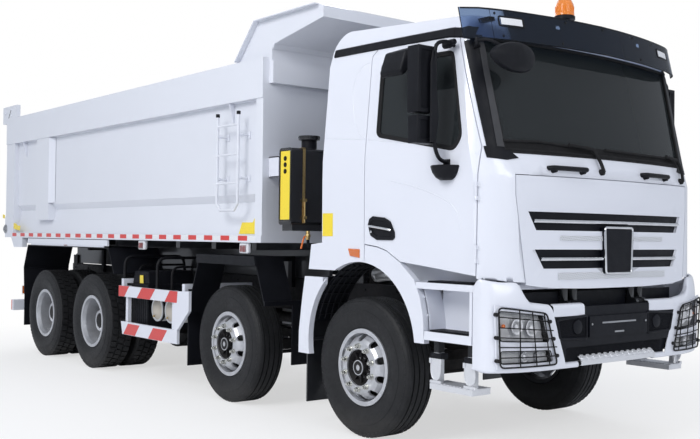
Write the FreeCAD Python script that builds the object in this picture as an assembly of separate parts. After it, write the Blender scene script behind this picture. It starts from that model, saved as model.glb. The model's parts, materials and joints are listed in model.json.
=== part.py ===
"""Eight-wheel dump truck: one STEP file per sub-part.

All sizes are millimetres. While the pieces are made, X = 0 is the first
steered axle, +X is forward, +Y is the left side and Z = 0 is the ground.
At the end every piece moves by SHIFT_X, so that the origin lies on the
ground under the middle of the truck's length.
"""
import FreeCAD
import Part
import math
import os
from FreeCAD import Vector

# ---- wheels and axles -------------------------------------------------------
TYRE_R = 540.0
TYRE_W = 300.0
BEAD_R = 285.0
RIM_FLANGE_R = 297.0
RIM_INNER_R = 252.0
FRONT_TRACK = 2060.0
REAR_TRACK = 1860.0
DUAL_SPACING = 345.0
STEER_AXLE_GAP = 1950.0
FRONT_TO_TANDEM = 2850.0
TANDEM_GAP = 1400.0
SPINDLE_R = 45.0
REAR_SPINDLE_R = 50.0
SHAFT_FIT = 0.1
SEAT_GAP = 0.3
KINGPIN_Y = 900.0
KINGPIN_R = 25.0
HAND_HOLE_R = 28.0
HAND_HOLE_PCR = 190.0
HAND_HOLES = 10
FRONT_HOLE_PCR = 228.0
NAVE_OUT = 165.0
DISC_T = 13.0
BORE_R = 140.5
STEER_ARM = 160.0

AXLE_X = (0.0, -STEER_AXLE_GAP, -STEER_AXLE_GAP - FRONT_TO_TANDEM,
          -STEER_AXLE_GAP - FRONT_TO_TANDEM - TANDEM_GAP)
AXLE_Z = TYRE_R
FRONT_WHEEL_Y = FRONT_TRACK / 2
REAR_WHEEL_Y = REAR_TRACK / 2

# ---- chassis frame ----------------------------------------------------------
BODY_HALF_W = 1250.0
RAIL_Y = 425.0
RAIL_FLANGE = 80.0
RAIL_T = 9.0
RAIL_BOTTOM = 830.0
RAIL_TOP = 1130.0
FRAME_FRONT_X = 1300.0
FRAME_REAR_X = -7250.0
CROSS_T = 70.0
SPRING_Y = 385.0
SPRING_W = 85.0
REAR_SPRING_Y = 500.0
BEAM_H = 100.0
BEAM_DROP = 35.0
BEAM_HALF_T = 50.0

# ---- bed, tailgate and hoist ------------------------------------------------
BED_FRONT_X = -1290.0
BED_REAR_X = -7780.0
BED_BOTTOM = 1484.0
BED_RAIL_BOTTOM = 2757.0
BED_RAIL_TOP = 3110.0
BED_RAIL_W = 90.0
BED_WALL_Y = 1182.0
BED_WALL_T = 12.0
BED_FOLD_TOP = 1915.0
BED_FOLD_BOTTOM = 1845.0
BED_FOLD_Y = 1130.0
BED_FLOOR_T = 16.0
BED_SKIRT_TOP = 1550.0
CANOPY_TOP = BED_RAIL_TOP + 350.0
CANOPY_FRONT_X = -515.0
CANOPY_T = 8.0
TAILGATE_T = 140.0
MOVE_GAP = 8.0
BED_BEAM_BOTTOM = RAIL_TOP + 10.0
BED_BEAM_W = 50.0
BED_PIN_R = 30.0
BED_PIN = Vector(-7150.0, 0, RAIL_TOP + 75.0)
GATE_PIN_R = 20.0
GATE_PIN = Vector(-7690.0, 0, BED_RAIL_TOP + 95.0)
HOIST_FOOT = Vector(-1130.0, 0, 900.0)
HOIST_EYE_Z = 2700.0
HOIST_BARREL_R = 105.0
HOIST_STEP = 14.0
HOIST_WALL = 10.0
HOIST_STAGES = 3
HOIST_RECESS = 370.0

# ---- cab --------------------------------------------------------------------
CAB_REAR_X = -420.0
CAB_WALL = 45.0
DOOR_T = 75.0
GLASS_T = 6.0
GLASS_INSET = 10.0
PANEL_GAP = 6.0
DOOR_REAR_X = 110.0
DOOR_FRONT_X = 1264.0
DOOR_TOP_Z = 2985.0
NOSE_BOTTOM = 1200.0
FLAP_TOP = 1975.0
FLAP_T = 60.0
FLAP_STRAIGHT_Z = 1840.0
FIREWALL_X = 1345.0
CAB_PIVOT = Vector(1395.0, 0, 1065.0)
DOOR_AXIS = Vector(DOOR_FRONT_X + 3.0, 1243.0, 0)
FLAP_AXIS = Vector(1486.0, 0, FLAP_TOP + 3.0)
PIVOT_EYE_R = 48.0
HINGE_PIN_R = 4.0
HINGE_R = 9.0
ROOF_TOP = 3185.0

# Door sill line, from the rear of the cab to the front edge of the door.
SILL = ((CAB_REAR_X, 1492.0), (120.0, 1492.0), (261.0, 1476.0), (366.0, 1449.0),
        (468.0, 1396.0), (519.0, 1369.0), (900.0, 1332.0), (DOOR_FRONT_X, 1293.0))

CAB_BOTTOM = SILL + ((DOOR_FRONT_X, NOSE_BOTTOM - 30), (1700.0, NOSE_BOTTOM - 30))

# Cab stations: height, half width, where the side ends, corner x and y, nose x.
STATIONS = ((NOSE_BOTTOM, 1240.0, 1265.0, 1440.0, 950.0, 1495.0),
            (1975.0, 1245.0, 1240.0, 1409.0, 1021.0, 1480.0),
            (2150.0, 1243.0, 1200.0, 1330.0, 1064.0, 1440.0),
            (2910.0, 1180.0, 1050.0, 1152.0, 1090.0, 1265.0),
            (3230.0, 1085.0, 930.0, 1050.0, 985.0, 1150.0))

# ---- bumper and steps -------------------------------------------------------
BUMPER_FRONT_X = 1505.0
BUMPER_BOTTOM = 640.0
BUMPER_TOP = 1178.0
BUMPER_T = 50.0
STEP_TOP = 1230.0
STEP_LOW = 888.0
ARCH_X = 50.0
ARCH_Z = 720.0
ARCH_R = 635.0

TREAD_OVERHANG = 22.0
FRONT_X = BUMPER_FRONT_X + TREAD_OVERHANG
SHIFT_X = -(FRONT_X + BED_REAR_X) / 2

X_AXIS = Vector(1, 0, 0)
Y_AXIS = Vector(0, 1, 0)
Z_AXIS = Vector(0, 0, 1)


# ---- small helpers ----------------------------------------------------------
def box(x0, x1, y0, y1, z0, z1):
    """A box from its lowest to its highest corner."""
    return Part.makeBox(x1 - x0, y1 - y0, z1 - z0, Vector(x0, y0, z0))


def cyl_x(x0, x1, y, z, r):
    """A cylinder along X."""
    return Part.makeCylinder(r, x1 - x0, Vector(x0, y, z), X_AXIS)


def cyl_y(x, y0, y1, z, r):
    """A cylinder along Y."""
    return Part.makeCylinder(r, y1 - y0, Vector(x, y0, z), Y_AXIS)


def cyl_z(x, y, z0, z1, r):
    """A cylinder along Z."""
    return Part.makeCylinder(r, z1 - z0, Vector(x, y, z0), Z_AXIS)


def rod(a, b, r):
    """A round bar from point a to point b."""
    return Part.makeCylinder(r, (b - a).Length, a, b - a)


def bent_rod(points, r):
    """Round bars end to end, with a ball at each bend."""
    pieces = [rod(a, b, r) for a, b in zip(points, points[1:])]
    pieces += [Part.makeSphere(r, p) for p in points[1:-1]]
    return fuse(pieces)


def prism_y(points, y0, y1):
    """An outline in the XZ plane, extruded from y0 to y1."""
    wire = Part.makePolygon([Vector(x, y0, z) for x, z in points] + [Vector(points[0][0], y0, points[0][1])])
    return Part.Face(wire).extrude(Vector(0, y1 - y0, 0))


def prism_x(points, x0, x1):
    """An outline in the YZ plane, extruded from x0 to x1."""
    wire = Part.makePolygon([Vector(x0, y, z) for y, z in points] + [Vector(x0, points[0][0], points[0][1])])
    return Part.Face(wire).extrude(Vector(x1 - x0, 0, 0))


def prism_z(points, z0, z1):
    """An outline in the XY plane, extruded from z0 to z1."""
    wire = Part.makePolygon([Vector(x, y, z0) for x, y in points] + [Vector(points[0][0], points[0][1], z0)])
    return Part.Face(wire).extrude(Vector(0, 0, z1 - z0))


def fuse(shapes):
    """One shape from several that touch or overlap."""
    first, rest = shapes[0], list(shapes[1:])
    return first.multiFuse(rest).removeSplitter() if rest else first


def mirrored(shape):
    """The same shape on the other side of the truck."""
    return shape.mirror(Vector(0, 0, 0), Y_AXIS)


def both(shape):
    """The shape and its mirror image."""
    return [shape, mirrored(shape)]


def revolve_y(profile, x, z):
    """A ring about a Y axis through (x, z) from an outline of (y, radius)."""
    wire = Part.makePolygon([Vector(x, y, z + r) for y, r in profile]
                            + [Vector(x, profile[0][0], z + profile[0][1])])
    return Part.Face(wire).revolve(Vector(x, 0, z), Y_AXIS, 360)


PARTS = {}


def keep(node, shapes):
    """Record the solids of one node."""
    solids = []
    for shape in shapes:
        solids += shape.Solids
    PARTS[node] = solids


# ---- wheels -----------------------------------------------------------------
def tyre(x, y):
    """A tyre with rounded shoulders; the tread stays plain."""
    h = TYRE_W / 2
    profile = [(-h + 37, BEAD_R), (-h + 37, RIM_FLANGE_R + SEAT_GAP), (-h + 10, BEAD_R + 45), (-h, BEAD_R + 130),
               (-h + 6, TYRE_R - 45),
               (-h + 24, TYRE_R - 12), (-h + 70, TYRE_R)]
    outline = [(y + s, r) for s, r in profile] + [(y - s, r) for s, r in reversed(profile)]
    return revolve_y(outline, x, AXLE_Z)


def rim_barrel(x, y):
    """The rim's barrel with its two flanges, as an outline turned about the axle."""
    h = TYRE_W / 2 - 37
    seat = BEAD_R - SEAT_GAP
    outline = [(-h - 14, RIM_INNER_R + 12), (-h - 14, RIM_FLANGE_R), (-h - SEAT_GAP, RIM_FLANGE_R), (-h - SEAT_GAP, seat),
               (h + SEAT_GAP, seat), (h + SEAT_GAP, RIM_FLANGE_R), (h + 14, RIM_FLANGE_R), (h + 14, RIM_INNER_R + 12),
               (h - 30, RIM_INNER_R), (-h + 30, RIM_INNER_R)]
    return revolve_y([(y + s, r) for s, r in outline], x, AXLE_Z)


def hand_holes(x, y0, y1, circle, turn):
    """Round hand holes through the wheel disc, on one circle and turned by an angle."""
    angles = [turn + 2 * math.pi * i / HAND_HOLES for i in range(HAND_HOLES)]
    return [cyl_y(x + circle * math.cos(a), y0, y1, AXLE_Z + circle * math.sin(a), HAND_HOLE_R) for a in angles]


def front_rim(x):
    """Left front rim: barrel, disc that bulges out past the flange, and the hub bored for the spindle."""
    y = FRONT_WHEEL_Y
    edge = RIM_INNER_R + 4
    outside = [(y + 70, edge), (y + 108, 243), (y + 140, 224), (y + 160, 202), (y + NAVE_OUT, 186), (y + NAVE_OUT, BORE_R)]
    inside = [(y + NAVE_OUT - DISC_T, BORE_R), (y + NAVE_OUT - DISC_T, 182), (y + 147, 194), (y + 129, 214), (y + 100, 231),
              (y + 52, edge)]
    disc = revolve_y(outside + inside, x, AXLE_Z)
    flange = [(y + 60, 86), (y + 128, 174), (y + NAVE_OUT - DISC_T, 174), (y + NAVE_OUT - DISC_T, BORE_R - 6),
              (y + 116, 112), (y + 116, 86)]
    hub = [cyl_y(x, y - 55, y + 118, AXLE_Z, 88), cyl_y(x, y + 110, y + NAVE_OUT + 6, AXLE_Z, 58),
           revolve_y(flange, x, AXLE_Z)]
    solid = fuse([rim_barrel(x, y), disc] + hub)
    solid = solid.cut(Part.makeCompound(hand_holes(x, y + 40, y + 180, FRONT_HOLE_PCR, math.pi / HAND_HOLES)))
    return solid.cut(cyl_y(x, y - 60, y + 90, AXLE_Z, SPINDLE_R + SHAFT_FIT))


def rear_rim(x):
    """Left rear pair of rims, bolted together at their discs, with the hub."""
    mid = REAR_WHEEL_Y
    outer, inner = mid + DUAL_SPACING / 2, mid - DUAL_SPACING / 2
    pieces = [rim_barrel(x, outer), rim_barrel(x, inner)]
    for s in (1, -1):
        pieces.append(revolve_y([(mid, 90), (mid, 170), (mid + s * 60, RIM_INNER_R + 4),
                                 (mid + s * 78, RIM_INNER_R + 4), (mid + s * 16, 160), (mid + s * 16, 90)], x, AXLE_Z))
    pieces.append(cyl_y(x, mid - 110, mid + 200, AXLE_Z, 118))
    solid = fuse(pieces)
    solid = solid.cut(Part.makeCompound(hand_holes(x, mid - 60, mid + 60, HAND_HOLE_PCR, 0.0)))
    return solid.cut(cyl_y(x, mid - 120, mid + 170, AXLE_Z, REAR_SPINDLE_R + SHAFT_FIT))


def make_wheels():
    """Eight wheels: single in front, twin at the rear."""
    for number, x in enumerate(AXLE_X, start=1):
        if number <= 2:
            tyres, rim = [tyre(x, FRONT_WHEEL_Y)], front_rim(x)
        else:
            tyres = [tyre(x, REAR_WHEEL_Y + s * DUAL_SPACING / 2) for s in (1, -1)]
            rim = rear_rim(x)
        keep("tyre_%d_left" % number, tyres)
        keep("tyre_%d_right" % number, [mirrored(t) for t in tyres])
        keep("rim_%d_left" % number, [rim])
        keep("rim_%d_right" % number, [mirrored(rim)])


# ---- axles, knuckles and springs --------------------------------------------
NOSE_FRONT = 270.0
NOSE_REAR = 240.0
FIST_HALF_H = 60.0
LUG_T = 48.0
LUG_GAP = 5.0
ARM_Z = AXLE_Z - FIST_HALF_H - LUG_GAP - LUG_T + 20.0


def knuckle(x):
    """Left steering knuckle: kingpin, two lugs, spindle, brake plate and steering arm."""
    top, low = AXLE_Z + FIST_HALF_H, AXLE_Z - FIST_HALF_H
    pin = cyl_z(x, KINGPIN_Y, low - LUG_GAP - LUG_T, top + LUG_GAP + LUG_T, KINGPIN_R)
    lugs = [box(x - 42, x + 42, KINGPIN_Y - 42, KINGPIN_Y + 72, z0, z0 + LUG_T)
            for z0 in (top + LUG_GAP, low - LUG_GAP - LUG_T)]
    plate = box(x - 60, x + 60, KINGPIN_Y + 52, KINGPIN_Y + 72, low - LUG_GAP - LUG_T, top + LUG_GAP + LUG_T)
    backing = cyl_y(x, KINGPIN_Y + 55, KINGPIN_Y + 67, AXLE_Z, 180)
    spindle = cyl_y(x, KINGPIN_Y + 60, FRONT_WHEEL_Y + 80, AXLE_Z, SPINDLE_R)
    arm = box(x - STEER_ARM - 30, x, KINGPIN_Y - 30, KINGPIN_Y + 30, ARM_Z - 15, ARM_Z + 15)
    return fuse([pin, plate, backing, spindle, arm] + lugs)


def tie_rod(x):
    """The bar that joins both steering arms, under their ends."""
    z = ARM_Z - 15 - MOVE_GAP - 18
    bar = cyl_y(x - STEER_ARM, -KINGPIN_Y, KINGPIN_Y, z, 18)
    heads = [cyl_z(x - STEER_ARM, s * KINGPIN_Y, z - 26, ARM_Z - 15 - SEAT_GAP, 24) for s in (1, -1)]
    return fuse([bar] + heads)


def front_axle(x):
    """Forged steered axle: a dropped beam that ends in two bored fists."""
    z = AXLE_Z - BEAM_DROP
    beam = box(x - BEAM_HALF_T, x + BEAM_HALF_T, -720, 720, z - BEAM_H / 2, z + BEAM_H / 2)
    ends = []
    for s in (1, -1):
        y0, y1 = sorted((s * 700, s * (KINGPIN_Y - 30)))
        ends.append(box(x - 40, x + 40, y0, y1, AXLE_Z - FIST_HALF_H + 8, AXLE_Z + FIST_HALF_H - 8))
        ends.append(cyl_z(x, s * KINGPIN_Y, AXLE_Z - FIST_HALF_H, AXLE_Z + FIST_HALF_H, 46))
    solid = fuse([beam] + ends)
    bores = [cyl_z(x, s * KINGPIN_Y, 0, 2 * AXLE_Z, KINGPIN_R + SHAFT_FIT) for s in (1, -1)]
    return solid.cut(Part.makeCompound(bores))


def rear_axle(x):
    """Driven axle: round housing, differential bowl and both spindles."""
    housing = cyl_y(x, -REAR_WHEEL_Y + 175, REAR_WHEEL_Y - 175, AXLE_Z, 85)
    bowl = Part.makeSphere(215, Vector(x, 0, AXLE_Z))
    nose = cyl_x(x, x + NOSE_FRONT, 0, AXLE_Z, 95)
    tail = cyl_x(x - NOSE_REAR, x, 0, AXLE_Z, 80)
    spindle = cyl_y(x, -REAR_WHEEL_Y - 160, REAR_WHEEL_Y + 160, AXLE_Z, REAR_SPINDLE_R)
    return fuse([housing, bowl, nose, tail, spindle])


def leaf_pack(x, y, half_span, seat_z, eye_z, centre_t, width):
    """One leaf spring, thick over the axle and thin at its ends."""
    def arc(dx, z_mid, z_end):
        return Part.Arc(Vector(x - dx, 0, z_end), Vector(x, 0, z_mid), Vector(x + dx, 0, z_end)).toShape()
    low = arc(half_span, seat_z, eye_z)
    top = arc(half_span, seat_z + centre_t, eye_z + 25)
    ends = [Part.makeLine(Vector(x + s * half_span, 0, eye_z), Vector(x + s * half_span, 0, eye_z + 25)) for s in (1, -1)]
    wire = Part.Wire(Part.__sortEdges__([low, top] + ends))
    solid = Part.Face(wire).extrude(Vector(0, width, 0))
    solid.translate(Vector(0, y - width / 2, 0))
    return solid


FRONT_SPRING_HALF = 780.0
FRONT_SPRING_EYE = 735.0
REAR_PAD_H = 60.0


def make_axles():
    """Axles, knuckles, tie rods and springs."""
    keep("front_axles", [front_axle(x) for x in AXLE_X[:2]])
    keep("rear_axles", [rear_axle(x) for x in AXLE_X[2:]])
    for number, x in enumerate(AXLE_X[:2], start=1):
        left = knuckle(x)
        keep("knuckle_%d_left" % number, [left])
        keep("knuckle_%d_right" % number, [mirrored(left)])
        keep("tie_rod_%d" % number, [tie_rod(x)])
    springs = []
    seat = AXLE_Z - BEAM_DROP + BEAM_H / 2
    for x in AXLE_X[:2]:
        springs += both(leaf_pack(x, SPRING_Y, FRONT_SPRING_HALF, seat, FRONT_SPRING_EYE, 85, SPRING_W))
    mid = (AXLE_X[2] + AXLE_X[3]) / 2
    half = TANDEM_GAP / 2 + 70
    pads = [box(x - 60, x + 60, REAR_SPRING_Y - 45, REAR_SPRING_Y + 45, AXLE_Z + 60, AXLE_Z + 60 + REAR_PAD_H)
            for x in AXLE_X[2:]]
    bow = leaf_pack(mid, REAR_SPRING_Y, half, AXLE_Z + 165, AXLE_Z + 100, 110, SPRING_W)
    hanger = box(mid - 90, mid + 90, RAIL_Y, REAR_SPRING_Y + 45, AXLE_Z + 190, RAIL_TOP - 60)
    rear = fuse([bow, hanger] + pads).cut(Part.makeCompound(
        [cyl_y(x, -BODY_HALF_W, BODY_HALF_W, AXLE_Z, 85) for x in AXLE_X[2:]]))
    springs += both(rear)
    keep("leaf_springs", springs)


# ---- chassis ----------------------------------------------------------------
# Bolt rectangle for a drawbar coupling in the last cross-member.
COUPLING_HALF_Y = 80.0
COUPLING_HALF_Z = 50.0
COUPLING_HOLE_R = 10.5
COUPLING_Z = 960.0

CROSS_X = (1230.0, HOIST_FOOT.x, -2900.0, -4050.0, -5500.0, -6650.0, FRAME_REAR_X + 40)


def rail():
    """Left frame rail, a channel that opens inwards."""
    web = box(FRAME_REAR_X, FRAME_FRONT_X, RAIL_Y - RAIL_T, RAIL_Y, RAIL_BOTTOM, RAIL_TOP)
    flanges = [box(FRAME_REAR_X, FRAME_FRONT_X, RAIL_Y - RAIL_FLANGE, RAIL_Y, z, z + RAIL_T)
               for z in (RAIL_BOTTOM, RAIL_TOP - RAIL_T)]
    return [web] + flanges


def make_frame():
    """Ladder frame with spring hangers, hoist cradle, bed pivots and cab pivots."""
    pieces = rail() + [mirrored(s) for s in rail()]
    inner = RAIL_Y - RAIL_T
    for x in CROSS_X:
        pieces.append(box(x - CROSS_T / 2, x + CROSS_T / 2, -inner, inner, RAIL_BOTTOM + 20, RAIL_TOP - 60))
    for x in AXLE_X[:2]:
        for s in (1, -1):
            hanger = box(x + s * FRONT_SPRING_HALF - 45, x + s * FRONT_SPRING_HALF + 45, SPRING_Y - SPRING_W / 2,
                         SPRING_Y + SPRING_W / 2, FRONT_SPRING_EYE + 25, RAIL_BOTTOM)
            pieces += both(hanger)
    cheek_y = HOIST_BARREL_R + MOVE_GAP
    for cheek in both(box(HOIST_FOOT.x - 70, HOIST_FOOT.x + 70, cheek_y, cheek_y + 25,
                          HOIST_FOOT.z - 60, HOIST_FOOT.z + 60)):
        pieces.append(cheek)
    for arm in both(box(HOIST_FOOT.x - 60, HOIST_FOOT.x + 60, cheek_y + 25, inner, HOIST_FOOT.z - 40, HOIST_FOOT.z + 40)):
        pieces.append(arm)
    solid = fuse(pieces)
    well = cyl_z(HOIST_FOOT.x, 0, RAIL_BOTTOM - 60, RAIL_TOP + 60, HOIST_BARREL_R + MOVE_GAP)
    swing = box(HOIST_FOOT.x - 230, HOIST_FOOT.x + 150, -cheek_y, cheek_y, RAIL_BOTTOM - 10, RAIL_TOP + 10)
    bores = [well, swing, cyl_y(HOIST_FOOT.x, -cheek_y - 30, cheek_y + 30, HOIST_FOOT.z, BED_PIN_R + SHAFT_FIT)]
    solid = solid.cut(Part.makeCompound(bores[:2]).multiFuse([bores[2]]))
    extra = []
    for side in (1, -1):
        for y0 in (RAIL_Y - RAIL_FLANGE - 5, RAIL_Y - 15):
            lo, hi = sorted((side * y0, side * (y0 + 20)))
            extra.append(box(BED_PIN.x - 60, BED_PIN.x + 60, lo, hi, RAIL_TOP - 20, BED_PIN.z + 45))
        lo, hi = sorted((side * (RAIL_Y - RAIL_FLANGE - 5), side * (RAIL_Y + 5)))
        extra.append(cyl_y(BED_PIN.x, lo, hi, BED_PIN.z, BED_PIN_R))
        lo, hi = sorted((side * (RAIL_Y - 60), side * (RAIL_Y - 5)))
        extra.append(box(FRAME_FRONT_X - 60, CAB_PIVOT.x, lo, hi, CAB_PIVOT.z - PIVOT_EYE_R, CAB_PIVOT.z + PIVOT_EYE_R))
        extra.append(cyl_y(CAB_PIVOT.x, lo, hi, CAB_PIVOT.z, PIVOT_EYE_R))
    solid = fuse([solid] + extra)
    holes = [cyl_y(CAB_PIVOT.x, -RAIL_Y, RAIL_Y, CAB_PIVOT.z, BED_PIN_R + SHAFT_FIT)]
    holes += [cyl_x(CROSS_X[-1] - CROSS_T, CROSS_X[-1] + CROSS_T, s * COUPLING_HALF_Y, COUPLING_Z + t * COUPLING_HALF_Z,
                    COUPLING_HOLE_R) for s in (1, -1) for t in (1, -1)]
    keep("frame", [solid.cut(Part.makeCompound(holes))])


def make_driveline():
    """Engine with gearbox as plain blocks, propeller shafts and exhaust."""
    inner = RAIL_Y - RAIL_FLANGE
    block = box(-250, 1050, -330, 330, 640, 1270)
    gearbox = box(-930, -250, -210, 210, 600, 1000)
    radiator = box(1050, 1150, -inner + SEAT_GAP, inner - SEAT_GAP, 640, 1150)
    feet = both(box(300, 420, 330, RAIL_Y - RAIL_T - SEAT_GAP, 880, 960))
    keep("engine", [fuse([block, gearbox, radiator] + feet)])
    z_out, r, flange = 700.0, 55.0, 24.0
    out_x, diff_x = -930 - SEAT_GAP, AXLE_X[2] + NOSE_FRONT + SEAT_GAP
    joint_1, joint_2 = Vector(out_x - flange / 2, 0, z_out), Vector(CROSS_X[2], 0, z_out - 10)
    diff_nose = Vector(diff_x + flange / 2, 0, AXLE_Z)
    bearing = box(CROSS_X[2] - 40, CROSS_X[2] + 40, -90, 90, 600, RAIL_BOTTOM + 20)
    ends = [cyl_x(out_x - flange, out_x, 0, z_out, 75), cyl_x(diff_x, diff_x + flange, 0, AXLE_Z, 75)]
    shafts = [rod(joint_1, joint_2, r), bearing, rod(joint_2, diff_nose, r)] + ends
    between = cyl_x(AXLE_X[3] + NOSE_FRONT + SEAT_GAP, AXLE_X[2] - NOSE_REAR - SEAT_GAP, 0, AXLE_Z, 45)
    keep("propshafts", [fuse(shafts), between])
    silencer = box(-1170, -740, 560, 1000, 640, 1080)
    pipe = bent_rod([Vector(-800, 575, 800), Vector(-800, RAIL_Y + 70, 800), Vector(-420, RAIL_Y + 70, 800)], 50)
    strap = box(-1100, -1000, RAIL_Y + SEAT_GAP, 560, 900, 1000)
    keep("exhaust", [fuse([silencer, pipe, strap])])


def make_boxes():
    """Fuel tank on the left, air tanks and battery box on the right."""
    tank = box(-4000, -2800, 560, 1150, 520, 1060)
    tank = tank.makeFillet(70, [e for e in tank.Edges if abs(e.tangentAt(e.FirstParameter).x) > 0.9])
    straps = [box(x - 30, x + 30, RAIL_Y + SEAT_GAP, 575, 560, 1040) for x in (-3800, -3000)]
    keep("fuel_tank", [fuse([tank] + straps)])
    tanks = [cyl_y(x, -1120, -560, 760, 125) for x in (-3420.0, -3130.0)]
    brackets = [box(x - 30, x + 30, -620, -RAIL_Y - SEAT_GAP, 830, 930) for x in (-3420.0, -3130.0)]
    keep("air_tanks", [fuse([t, b]) for t, b in zip(tanks, brackets)])
    case = box(-3990, -3600, -1130, -560, 520, 1000)
    arm = box(-3850, -3750, -560, -RAIL_Y - SEAT_GAP, 840, 940)
    keep("battery_box", [fuse([case, arm])])


GUARD_Y = 1245.0
GUARD_T = 30.0


def make_side_guards():
    """Striped side guards with their hoops, and the rear underrun bar."""
    y1, y0 = GUARD_Y, GUARD_Y - GUARD_T
    outline = [(-4073, 869), (-4073, 985), (-2760, 985), (-2540, 997), (-2540, 800), (-2764, 600), (-2764, 463),
               (-3972, 463), (-4010, 600), (-2830, 600), (-2830, 869)]
    plate = prism_y(outline, y0, y1)
    posts = [box(x - 25, x + 25, y0 - 40, y0, 463, 985) for x in (-3930, -2900)]
    arms = [box(x - 25, x + 25, RAIL_Y + SEAT_GAP, y0 - 20, 1010, 1060) for x in (-4040, -2700)]
    ties = [box(-4065, -4015, y0 - 40, y0, 880, 1060), box(-2725, -2675, y0 - 40, y0, 800, 1060)]
    guard = fuse([plate] + posts + arms + ties)
    bar = box(-7450, -7370, -1210, 1210, 493, 635)
    drop = [box(-7375, -7310, s * 385 - 40, s * 385 + 40, 520, RAIL_BOTTOM + 60) for s in (1, -1)]
    links = [box(-7375, FRAME_REAR_X - SEAT_GAP, s * 385 - 40, s * 385 + 40, RAIL_BOTTOM, RAIL_BOTTOM + 100) for s in (1, -1)]
    keep("side_guards", both(guard) + [fuse([bar] + drop + links)])


# ---- mudguards --------------------------------------------------------------
GUARD_IN_Y = 620.0


def strip(points, thickness, y0, y1):
    """A bent plate that follows a line of points in the XZ plane."""
    pieces = []
    for (xa, za), (xb, zb) in zip(points, points[1:]):
        length = math.hypot(xb - xa, zb - za)
        nx, nz = -(zb - za) / length * thickness, (xb - xa) / length * thickness
        pieces.append(prism_y([(xa, za), (xb, zb), (xb + nx, zb + nz), (xa + nx, za + nz)], y0, y1))
    pieces += [cyl_y(x, y0, y1, z, thickness) for x, z in points[1:-1]]
    return fuse(pieces)


def make_mudguards():
    """Dark guards over axle 2 and the tandem, with their flaps and stays."""
    x2, x3, x4 = AXLE_X[1], AXLE_X[2], AXLE_X[3]
    second = strip([(x2 - 680, 783), (x2 - 455, 1350), (x2 + 485, 1350), (x2 + 655, 937)], 12, 900, 1205)
    skirt = prism_y([(x2 - 470, 1279), (x2 - 475, 1362), (x2 + 530, 1362), (x2 + 553, 1279)], 1203, 1235)
    flap = box(x2 - 700, x2 - 685, 900, 1190, 264, 880)
    stay = box(x2 - 30, x2 + 30, RAIL_Y + SEAT_GAP, 930, 1300, 1350)
    post = box(x2 - 30, x2 + 30, RAIL_Y + SEAT_GAP, RAIL_Y + 40, RAIL_TOP - 80, 1350)
    band = box(x2 + 650, x2 + 668, 560, 1205, 930, 970)
    apron = box(x2 + 650, x2 + 668, 560, 905, 395, 970)
    guard_2 = fuse([second, skirt, flap, stay, post, band, apron])
    top = 1380.0
    line = [(x4 - 705, 738), (x4 - 735, 1091), (x4 - 600, top), (x3 + 419, top), (x3 + 568, 1101)]
    tandem = strip(line, 12, GUARD_IN_Y, 1235)
    rear_flap = box(x4 - 720, x4 - 705, GUARD_IN_Y, 1230, 330, 760)
    stays = [box(x - 30, x + 30, RAIL_Y + SEAT_GAP, GUARD_IN_Y + 40, 1330, top) for x in (x3, x4)]
    posts = [box(x - 30, x + 30, RAIL_Y + SEAT_GAP, RAIL_Y + 40, RAIL_TOP - 80, top) for x in (x3, x4)]
    guard_3 = fuse([tandem, rear_flap] + stays + posts)
    keep("mudguards", both(guard_2) + both(guard_3))


def arch_band(outer, y0, y1):
    """The part of an outline that lies outside the front wheel arch."""
    return prism_y(outer, y0, y1).cut(cyl_y(ARCH_X, y0 - 1, y1 + 1, ARCH_Z, ARCH_R))


def make_fenders():
    """White front arches, leg panels, step boxes and the rims of the tandem guards."""
    y0, y1 = 1195.0, 1245.0
    low = [(x, z - MOVE_GAP) for x, z in SILL[1:6]]
    arc = low + [(667, 1248), (732, 1122), (766, 995), (781, 798), (640, 798), (300, 900), (100, 1000)]
    front = arch_band(arc, y0, y1)
    top_step = box(690, 1255, 1000, y1, STEP_TOP - 45, STEP_TOP)
    low_step = box(781, 1240, 1000, y1, STEP_LOW - 60, STEP_LOW)
    riser = prism_y([(760, STEP_LOW - 60), (1235, STEP_LOW - 60), (1235, 1282), (900, 1318), (760, 1330)], 1000, 1040)
    cheek = box(1215, 1240, 1000, y1 - 4, STEP_LOW - 60, STEP_TOP - 10)
    wall = strip([(774, STEP_LOW - 60), (759, 995), (725, 1122), (672, 1236)], 12, 1000, 1200)
    stay = box(900, 1000, RAIL_Y + SEAT_GAP, 1010, 900, 980)
    box_front = fuse([front, top_step, low_step, riser, cheek, wall, stay])
    leg = prism_y([(-719, 592), (-716, 773), (-679, 1022), (-641, 1220), (-300, 1220), (-300, 592)], y0, y1)
    leg = leg.cut(cyl_y(ARCH_X, y0 - 1, y1 + 1, ARCH_Z, ARCH_R))
    leg = leg.common(box(-800, -400, 0, 1300, 592, 1221))
    panel = strip([(-655, 190), (-655, 700), (-640, 1000), (-560, 1215)], 14, 900, y0 + 2)
    arm = box(-660, -600, RAIL_Y + SEAT_GAP, 910, 900, 960)
    leg_all = fuse([leg, panel, arm])
    x3, x4 = AXLE_X[2], AXLE_X[3]
    rim_band = prism_y([(x4 - 605, 1408), (x4 - 595, 1475), (x3 + 410, 1475), (x3 + 419, 1408)], 1223, 1243)
    foot = box(x4 - 500, x3 + 300, 1223, 1235, 1392, 1409)
    keep("fenders", both(box_front) + both(leg_all) + both(fuse([rim_band, foot])))


# ---- bumper, lamps and step treads ------------------------------------------
def bumper_plan(inset):
    """Left half of the bumper's plan outline, from the centre to the side's end."""
    return [(BUMPER_FRONT_X - inset, 0), (BUMPER_FRONT_X - inset, 760 - inset / 2), (1410 - inset, 1200 - inset / 2),
            (1340 - inset / 2, 1245 - inset), (1249, 1245 - inset)]


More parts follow.
